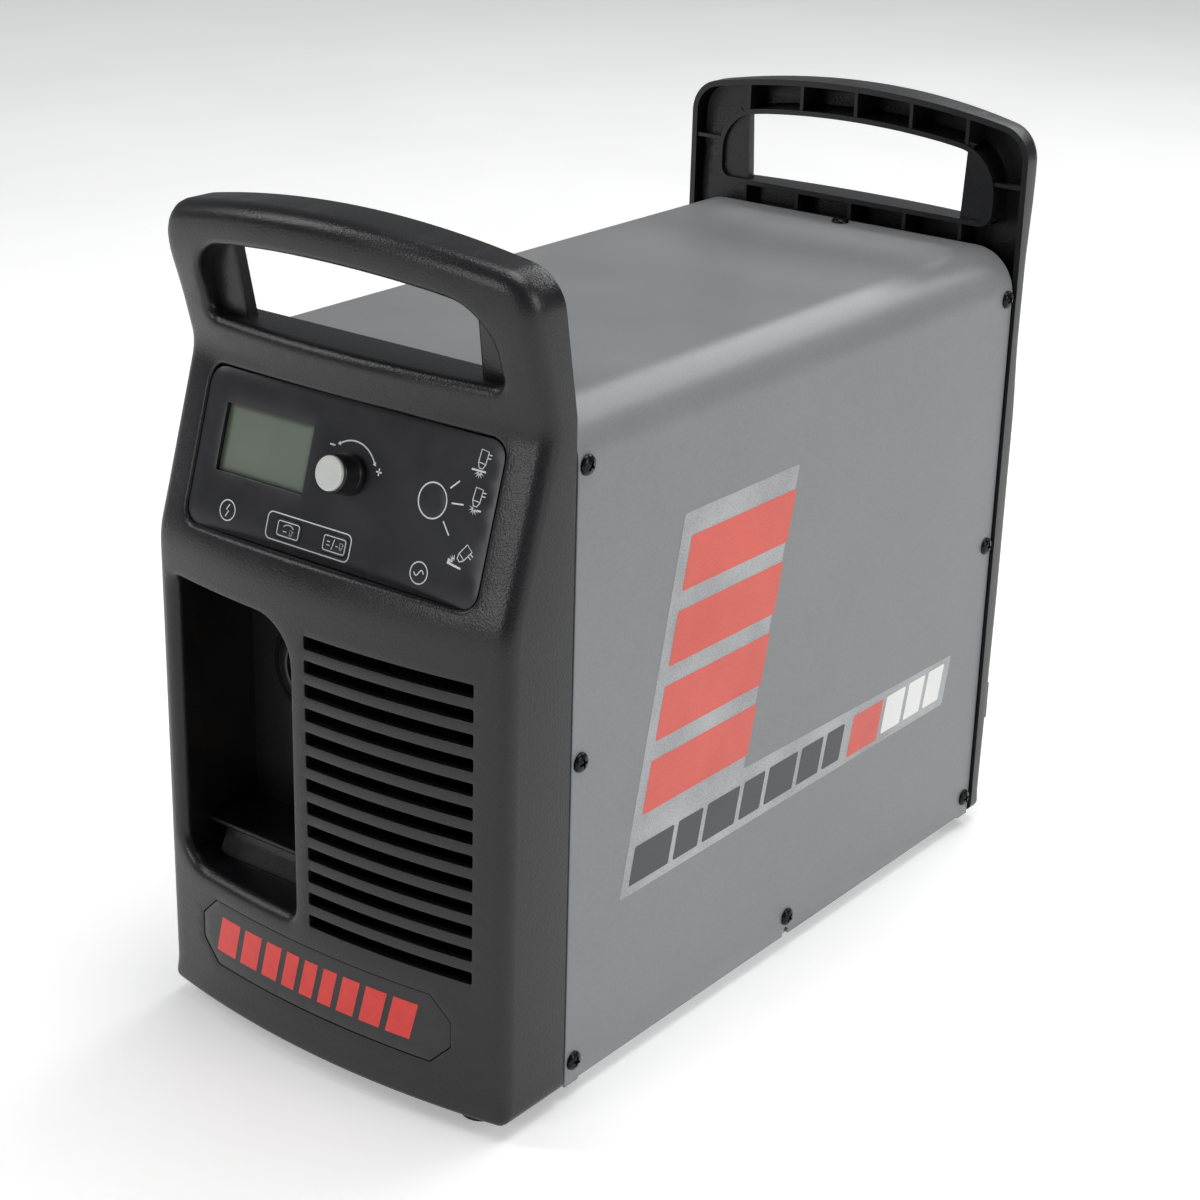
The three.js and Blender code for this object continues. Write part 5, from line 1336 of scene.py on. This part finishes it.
def badge():
    plate = moulding([Edge(badge_outline(0.0), 0.4, -1, 2)], badge_level, 0.9, facing_front, 5.0)
    piece("badge_plate", plate, badge_black, "cabinet", ["front_badge"])
    points, faces = [], []
    for left, wide in BARS:
        loop = [(left, BAR_FOOT), (left + wide, BAR_FOOT)]
        loop += [(left + wide + BAR_SLANT, BAR_TOP), (left + BAR_SLANT, BAR_TOP)]
        first = sum(len(part) for part in points)
        columns = np.linspace(0, 1, 5)
        low = [np.array(loop[0]) * (1 - t) + np.array(loop[1]) * t for t in columns]
        high = [np.array(loop[3]) * (1 - t) + np.array(loop[2]) * t for t in columns]
        net = np.array(low + high)
        points.append(facing_front(net[:, 0], net[:, 1], badge_level(net[:, 0], net[:, 1]) + 0.1))
        for i in range(4):
            faces.append((first + i, first + i + 1, first + i + 6, first + i + 5))
    ink = np.concatenate(points)
    piece("badge_print", (ink, faces), badge_red)


badge()

# ---- side decals ---------------------------------------------------------------------------
# Printed vinyl on both sides of the cover: a speckled silver field with four stacked red bars
# and a slanted band of dark, red and light blocks. It carries no lettering and no mark.

DECAL_SLANT = 0.24
DECAL_FOOT = 98.0
DECAL_LIFT = 0.07
DECAL_FIELD = ((-153, 98), (-151, 98), (-106, 295), (-4, 295), (-43, 133), (177, 128), (170, 98))

# Retroreflective vinyl: silver grey with glass beads that show as fine speckle.
decal_silver = surface("reflective_silver_vinyl", "85878a", "b3b5b6", (0.3, 0.42), 60.0, 0.9, 0.01)
# Printed vinyl, translucent red over the beads: slightly pink, satin.
decal_red = surface("printed_red_vinyl", "c9473b", "dc5b4c", (0.3, 0.4), 60.0, 0.9, 0.008)
# Printed vinyl in dark grey.
decal_dark = surface("printed_dark_vinyl", "2c2d2f", "3b3c3f", (0.32, 0.42), 60.0, 0.9, 0.008)
# Plain white vinyl.
decal_white = surface("white_vinyl", "dcdddc", "ececea", (0.3, 0.4), 60.0, 0.9, 0.006)


def slanted(near, far, foot, top):
    """A block between two places along the cover, leaning with the decal."""
    low, high = (foot - DECAL_FOOT) * DECAL_SLANT, (top - DECAL_FOOT) * DECAL_SLANT
    return [(near + low, foot), (far + low, foot), (far + high, top), (near + high, top)]


def vinyl(name, blocks, material, lift):
    """Decal blocks as thin skins on both sides of the cover."""
    points, faces = [], []
    for side in (-1, 1):
        face_x = side * (HALF_WIDTH - COVER_INSET + lift)
        for block in blocks:
            loop = rounded([(y, z, 1.2) for y, z in block], 1.0)
            ring = tuple(range(len(points), len(points) + len(loop)))
            points += [(face_x, y, z) for y, z in loop]
            faces.append(ring if side > 0 else ring[::-1])
    made = skin_object(name, np.array(points), faces, material)
    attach(made, "cabinet")


def skin_object(name, points, faces, material):
    """An open print or decal, its faces already turned outwards."""
    mesh = bpy.data.meshes.new(name)
    mesh.from_pydata((points * MM).tolist(), [], faces)
    mesh.materials.append(material)
    made = bpy.data.objects.new(name, mesh)
    bpy.context.scene.collection.objects.link(made)
    return made


def side_decals():
    vinyl("decal_field", [DECAL_FIELD[1:]], decal_silver, DECAL_LIFT)
    bars = [slanted(-144, -50, 140 + 38 * step, 168 + 38 * step) for step in range(4)]
    band = [slanted(62, 94, 101, 125)]
    vinyl("decal_red_blocks", bars + band, decal_red, 2 * DECAL_LIFT)
    dark, start = [], -145.0
    for wide in (34, 22, 30, 20, 28, 22, 18):
        dark.append(slanted(start, start + wide, 103, 124))
        start += wide + 4
    vinyl("decal_dark_blocks", dark, decal_dark, 2 * DECAL_LIFT)
    light = [slanted(98, 119, 103, 125), slanted(123, 141, 103, 125), slanted(145, 163, 103, 125)]
    vinyl("decal_light_blocks", light, decal_white, 2 * DECAL_LIFT)


side_decals()

# ---- feet ----------------------------------------------------------------------------------
# Four moulded rubber feet, each held from below by a screw that sits deep in its hollow.

# Moulded black rubber, dull, dusty where it has stood on floors.
foot_rubber = surface("moulded_rubber", "0e0e0e", "1c1b1a", (0.7, 0.85), 6.0, 0.6, 0.02)


def rubber_feet():
    profile = [(0, 3.2), (3.6, 3.2), (3.8, 0.5), (4.4, 0.0), (9.6, 0.0), (10.6, 0.4), (11.0, 1.2)]
    profile += [(11.9, 8.2), (11.7, 8.7), (0, 8.7)]
    for name in ("front_left", "front_right", "rear_left", "rear_right"):
        low, high = (np.array(corner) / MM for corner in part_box("foot_" + name))
        middle = (low + high) / 2
        solid = turned(profile, middle[0], middle[1], upright, 40)
        piece("rubber_foot_" + name, solid, foot_rubber, "cabinet", ["foot_" + name])


rubber_feet()

# ---- rear controls and ports ---------------------------------------------------------------
# On the rear panel: the rotary power switch with its grip, two round and flat rubber port
# covers, and the hexagonal cord gland.

SWITCH_X, PORT_X = (sum(np.array(c)[0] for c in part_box(n)) / 2 / MM for n in ("power_switch_body", "interface_port_cover"))
SWITCH_Z = HEIGHT - 147.0
PORT_Z, SERIAL_Z = FOOT + 96.0, FOOT + 53.0
GLAND_X, GLAND_Z = HALF_WIDTH - 33.0, 71.0
ON_REAR = REAR_PANEL + 0.3

# Moulded red thermoplastic of the switch grip: saturated, satin.
switch_red = surface("moulded_switch_red", "a31f17", "b5291f", (0.32, 0.42), 12.0, 0.5, 0.006)
# Glass-filled nylon of the switch base, the gland and its nut: black, slightly streaked.
glass_nylon = surface("glass_filled_nylon", "151515", "202021", (0.38, 0.52), 5.0, 0.5, 0.015)
# Soft moulded rubber of the port covers.
cover_rubber = surface("port_cover_rubber", "121212", "1c1c1c", (0.6, 0.75), 8.0, 0.6, 0.015)


def hexagon(radius, x, z):
    angles = np.radians(30 + 60 * np.arange(6))
    return rounded([(x + radius * math.cos(a), z + radius * math.sin(a), 1.0) for a in angles], 3.0)


def plate_between(loop, radius, level, foot, grid=5.0):
    return moulding([Edge(loop, radius, -1, 3)], flat(level), level - foot, facing_rear, grid)


def rear_controls():
    half = 24.0
    outline = rectangle(SWITCH_X - half, SWITCH_X + half, SWITCH_Z - half, SWITCH_Z + half, 3)
    collar = Edge(circle(20.0, 1.5, SWITCH_X, SWITCH_Z), 0.5, 1, 2)
    base = moulding([Edge(outline, 1.2, -1, 3), collar], flat(ON_REAR + 6.0), 5.7, facing_rear, 5.0)
    inner = turned(
        [(0, ON_REAR + 3), (20.2, ON_REAR + 3), (20.2, ON_REAR + 0.5), (0, ON_REAR + 0.5)],
        SWITCH_X, SWITCH_Z, facing_rear,
    )  # fmt: skip
    body = slab((SWITCH_X - 20, REAR_PANEL - 50, SWITCH_Z - 20), (SWITCH_X + 20, REAR_PANEL - 4, SWITCH_Z + 20))
    neck = turned([(0, REAR_PANEL - 5), (10.5, REAR_PANEL - 5), (10.5, ON_REAR + 1), (0, ON_REAR + 1)],
                  SWITCH_X, SWITCH_Z, facing_rear)
    piece(
        "switch_base", gathered(base, inner, body, neck), glass_nylon, "cabinet",
        ["power_switch_body"],
    )
    seat = ON_REAR + 6.3
    dial = [(0, ON_REAR + 3.3), (18.6, ON_REAR + 3.3), (19.0, seat), (19.0, seat + 3.0), (18.2, seat + 3.9)]
    dial += [(16.0, seat + 4.2), (0, seat + 4.2)]
    grip = rectangle(SWITCH_X - 5, SWITCH_X + 5, SWITCH_Z - 16, SWITCH_Z + 16, 4.2, 2.0)
    handle = plate_between(grip, 1.6, seat + 16.9, seat + 3, 3.0)
    piece(
        "switch_grip", gathered(turned(dial, SWITCH_X, SWITCH_Z, facing_rear, 64), handle), switch_red,
        "power_handle", ["power_switch_knob"],
    )
    mark = slanted_mark(SWITCH_X, SWITCH_Z, seat + 16.95)
    pointer = skin_object("switch_pointer", mark, [(0, 1, 2, 3)], decal_white)
    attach(pointer, "power_handle")

    round_cap = [(0, ON_REAR), (17.0, ON_REAR), (17.0, ON_REAR + 2.2), (16.3, ON_REAR + 3.0), (14.4, ON_REAR + 3.0)]
    round_cap += [(14.0, ON_REAR + 3.4), (13.8, ON_REAR + 6.2), (13.0, ON_REAR + 6.9), (11.0, ON_REAR + 6.6)]
    round_cap += [(0, ON_REAR + 6.2)]
    cap = turned(round_cap, PORT_X, PORT_Z, facing_rear, 64)
    tab = rectangle(PORT_X - 4, PORT_X + 4, PORT_Z + 15, PORT_Z + 16.9, 0.9, 1.0)
    piece(
        "interface_cover", gathered(cap, plate_between(tab, 0.3, ON_REAR + 5.5, ON_REAR + 2, 2.0)), cover_rubber,
        "cabinet", ["interface_port_cover"],
    )
    flap = rectangle(PORT_X - 20, PORT_X + 20, SERIAL_Z - 9, SERIAL_Z + 9, 2.2, 3.0)
    step = rectangle(PORT_X - 16, PORT_X + 16, SERIAL_Z - 6, SERIAL_Z + 6, 1.6, 3.0)
    serial = gathered(
        plate_between(flap, 0.6, ON_REAR + 1.9, ON_REAR), plate_between(step, 0.5, ON_REAR + 2.5, ON_REAR + 1)
    )
    piece("serial_cover", serial, cover_rubber, "cabinet", ["serial_port_cover"])


def slanted_mark(x, z, level):
    """The white pointer line on top of the switch grip."""
    corners = [(x + 0.8, z + 6), (x - 0.8, z + 6), (x - 0.8, z + 14), (x + 0.8, z + 14)]
    return np.array([(across, level, up) for across, up in corners])


def cord_gland():
    hexed = hexagon(24.0, GLAND_X, GLAND_Z)
    hole = Edge(circle(8.0, 1.2, GLAND_X, GLAND_Z), 0.5, 1, 2)
    wide_hole = Edge(circle(8.0, 1.2, GLAND_X, GLAND_Z), 0.2, 1, 1)
    flange = moulding([Edge(hexed, 0.9, -1, 2), wide_hole], flat(ON_REAR + 6), 5.8, facing_rear, 5.0)
    low, high = REAR_PANEL - 17.8, ON_REAR + 0.5
    barrel = [(8.0, low), (15.0, low), (15.0, high), (8.0, high)]
    locknut = [(15.2, REAR_PANEL - 11.6), (21.0, REAR_PANEL - 11.6), (21.0, REAR_PANEL - 3.9), (15.2, REAR_PANEL - 3.9)]
    solid = gathered(
        flange, turned(barrel, GLAND_X, GLAND_Z, facing_rear), turned(locknut, GLAND_X, GLAND_Z, facing_rear, 6)
    )
    piece("gland_body", solid, glass_nylon, "cabinet", ["cord_gland_body"])
    nut_top = 249.5
    nut = moulding([Edge(hexed, 1.1, -1, 3), hole], flat(nut_top), nut_top - ON_REAR - 6.4, facing_rear, 5.0)
    lip = [(8.6, nut_top - 2), (17.0, nut_top - 2), (17.0, 254.3), (16.2, 255.3), (12.0, 255.4), (9.4, 254.6)]
    lip += [(8.6, 253.4)]
    piece(
        "gland_nut", gathered(nut, turned(lip, GLAND_X, GLAND_Z, facing_rear, 64)), glass_nylon,
        "cabinet", ["cord_gland_nut"],
    )


rear_controls()
cord_gland()

# ---- air filter ----------------------------------------------------------------------------
# A die-cast filter head on the back of the alcove, a clear bowl screwed up into it with the
# element inside, and the brass quick-connect nipple that the air line pushes on to.

head_low, head_high = (np.array(corner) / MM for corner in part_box("filter_head"))
FILTER_X = (head_low[0] + head_high[0]) / 2
FILTER_Y = ALCOVE_BACK + 25.0
HEAD_TOP = ALCOVE_TOP - 12.0
HEAD_FOOT = HEAD_TOP - 34.0
BOWL_TOP = HEAD_FOOT - 0.3

# Die-cast zinc, bead blasted and clear lacquered: pale, even, slightly warm.
cast_metal = surface("die_cast_metal", "8f9293", "a9acad", (0.38, 0.5), 12.0, 0.5, 0.02, Metallic=0.9)
# Sintered polyethylene element: chalky white, pored.
sintered = surface("sintered_element", "d4d2c8", "eceae2", (0.8, 0.9), 6.0, 0.7, 0.05)
# Injection-moulded clear polycarbonate bowl, faintly blue, with slight handling haze.
clear_bowl = surface(
    "clear_polycarbonate", "dfe9ee", "eef4f7", (0.04, 0.14), 20.0, 3.0, 0.002, Transmission_Weight=0.92, IOR=1.58
)


def standing(x, y, up):
    return np.stack([x, y, up], axis=-1)


def air_filter():
    def front(across, up, out):
        return np.stack([across, FILTER_Y + out, up], axis=-1)

    face = rectangle(FILTER_X - 23, FILTER_X + 23, HEAD_FOOT, HEAD_TOP, 4, 3.0)
    block = moulding([Edge(face, 1.6, -1, 3)], flat(20.0), 44.4, front, 6.0)
    cap = [(0, HEAD_TOP - 2), (14.0, HEAD_TOP - 2), (14.0, HEAD_TOP + 6.6), (12.8, HEAD_TOP + 7.9), (0, HEAD_TOP + 7.9)]
    head = gathered(block, turned(cap, FILTER_X, FILTER_Y, standing, 48))
    piece("filter_body", head, cast_metal, "cabinet", ["filter_head"])
    top = BOWL_TOP
    bowl = [(0, top - 72), (8.5, top - 72), (12.5, top - 70.6), (17.0, top - 64), (19.2, top - 57), (20.0, top - 50)]
    bowl += [(20.0, top - 6), (19.4, top - 5), (19.4, top), (17.5, top), (17.5, top - 50), (16.8, top - 56)]
    bowl += [(14.6, top - 62), (11.0, top - 67.6), (8.0, top - 69), (0, top - 69)]
    piece(
        "filter_bowl_shell", turned(bowl, FILTER_X, FILTER_Y, standing, 64), clear_bowl,
        "cabinet", ["filter_bowl"],
    )
    core = [(0, top - 45), (9.6, top - 45), (10.8, top - 44), (11.0, top - 42), (11.0, top - 1), (0, top - 1)]
    piece(
        "filter_core", turned(core, FILTER_X, FILTER_Y, standing, 40), sintered, "cabinet",
        ["filter_element"],
    )
    base, level = FILTER_Y + 20.3, (HEAD_FOOT + HEAD_TOP) / 2
    hexed = hexagon(11.0, FILTER_X, level)
    hole = Edge(circle(3.5, 0.8, FILTER_X, level), 0.2, 1, 1)
    nut = moulding([Edge(hexed, 0.7, -1, 2), hole], flat(base + 9), 8.8, facing_rear, 3.0)
    stem = [(3.5, base + 4), (7.5, base + 4), (7.5, base + 13.4), (6.9, base + 14.6), (5.2, base + 15), (4.9, base + 15.8)]
    stem += [(6.0, base + 17.2), (6.0, base + 18.3), (5.2, base + 19), (4.0, base + 19), (3.5, base + 18.5)]
    fitting = gathered(nut, turned(stem, FILTER_X, level, facing_rear, 48))
    piece("air_nipple", fitting, turned_brass, "cabinet", ["air_inlet_fitting"])


air_filter()

# ---- inside --------------------------------------------------------------------------------
# The working parts behind the moulded ends, kept as simple solids because only their edges
# show through the louvres and the grille. Each has the finish of the real one.

# Hot-dip galvanised sheet: pale spangled zinc of the base tray and the partition.
zinc = surface("galvanised_sheet", "8b9093", "b9bdbf", (0.3, 0.5), 9.0, 2.5, 0.004, Metallic=0.85)
# Extruded and milled aluminium of the heatsink, the encoder and its shaft.
milled = surface("milled_aluminium", "9a9da0", "b5b8ba", (0.28, 0.42), 30.0, 0.6, 0.006, Metallic=1.0)
# Glass-epoxy board under green solder mask.
solder_mask = surface("green_solder_mask", "14402a", "1f5a3a", (0.3, 0.5), 14.0, 2.2, 0.05)
# Enamelled copper wire, varnished over, its turns showing as fine ridges.
varnished = surface("varnished_copper", "6e3819", "a35e30", (0.25, 0.42), 10.0, 1.6, 0.12, Metallic=0.7)
# Pressed laminated core, painted black against rust.
laminated = surface("laminated_core", "232325", "38383a", (0.5, 0.65), 12.0, 0.6, 0.03)
# Glass-filled polyester of the fan frame, its rotor and the capacitor sleeves.
fan_black = surface("fan_polyester", "101011", "1b1b1c", (0.4, 0.55), 14.0, 0.6, 0.012)
INSIDE = {
    "base_pan": zinc, "centre_panel": zinc, "heatsink": milled, "encoder_body": milled, "encoder_shaft": milled,
    "control_board": solder_mask, "power_board": solder_mask, "transformer_winding": varnished,
    "output_inductor": varnished, "transformer_core": laminated, "fan_frame": fan_black, "fan_rotor": fan_black,
    "capacitor_front": fan_black, "capacitor_rear": fan_black, "gas_valve": turned_brass,
    "receptacle_core": turned_brass,
}  # fmt: skip
for name, finish in INSIDE.items():
    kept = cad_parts[name]
    kept.data.materials.clear()
    kept.data.materials.append(finish)
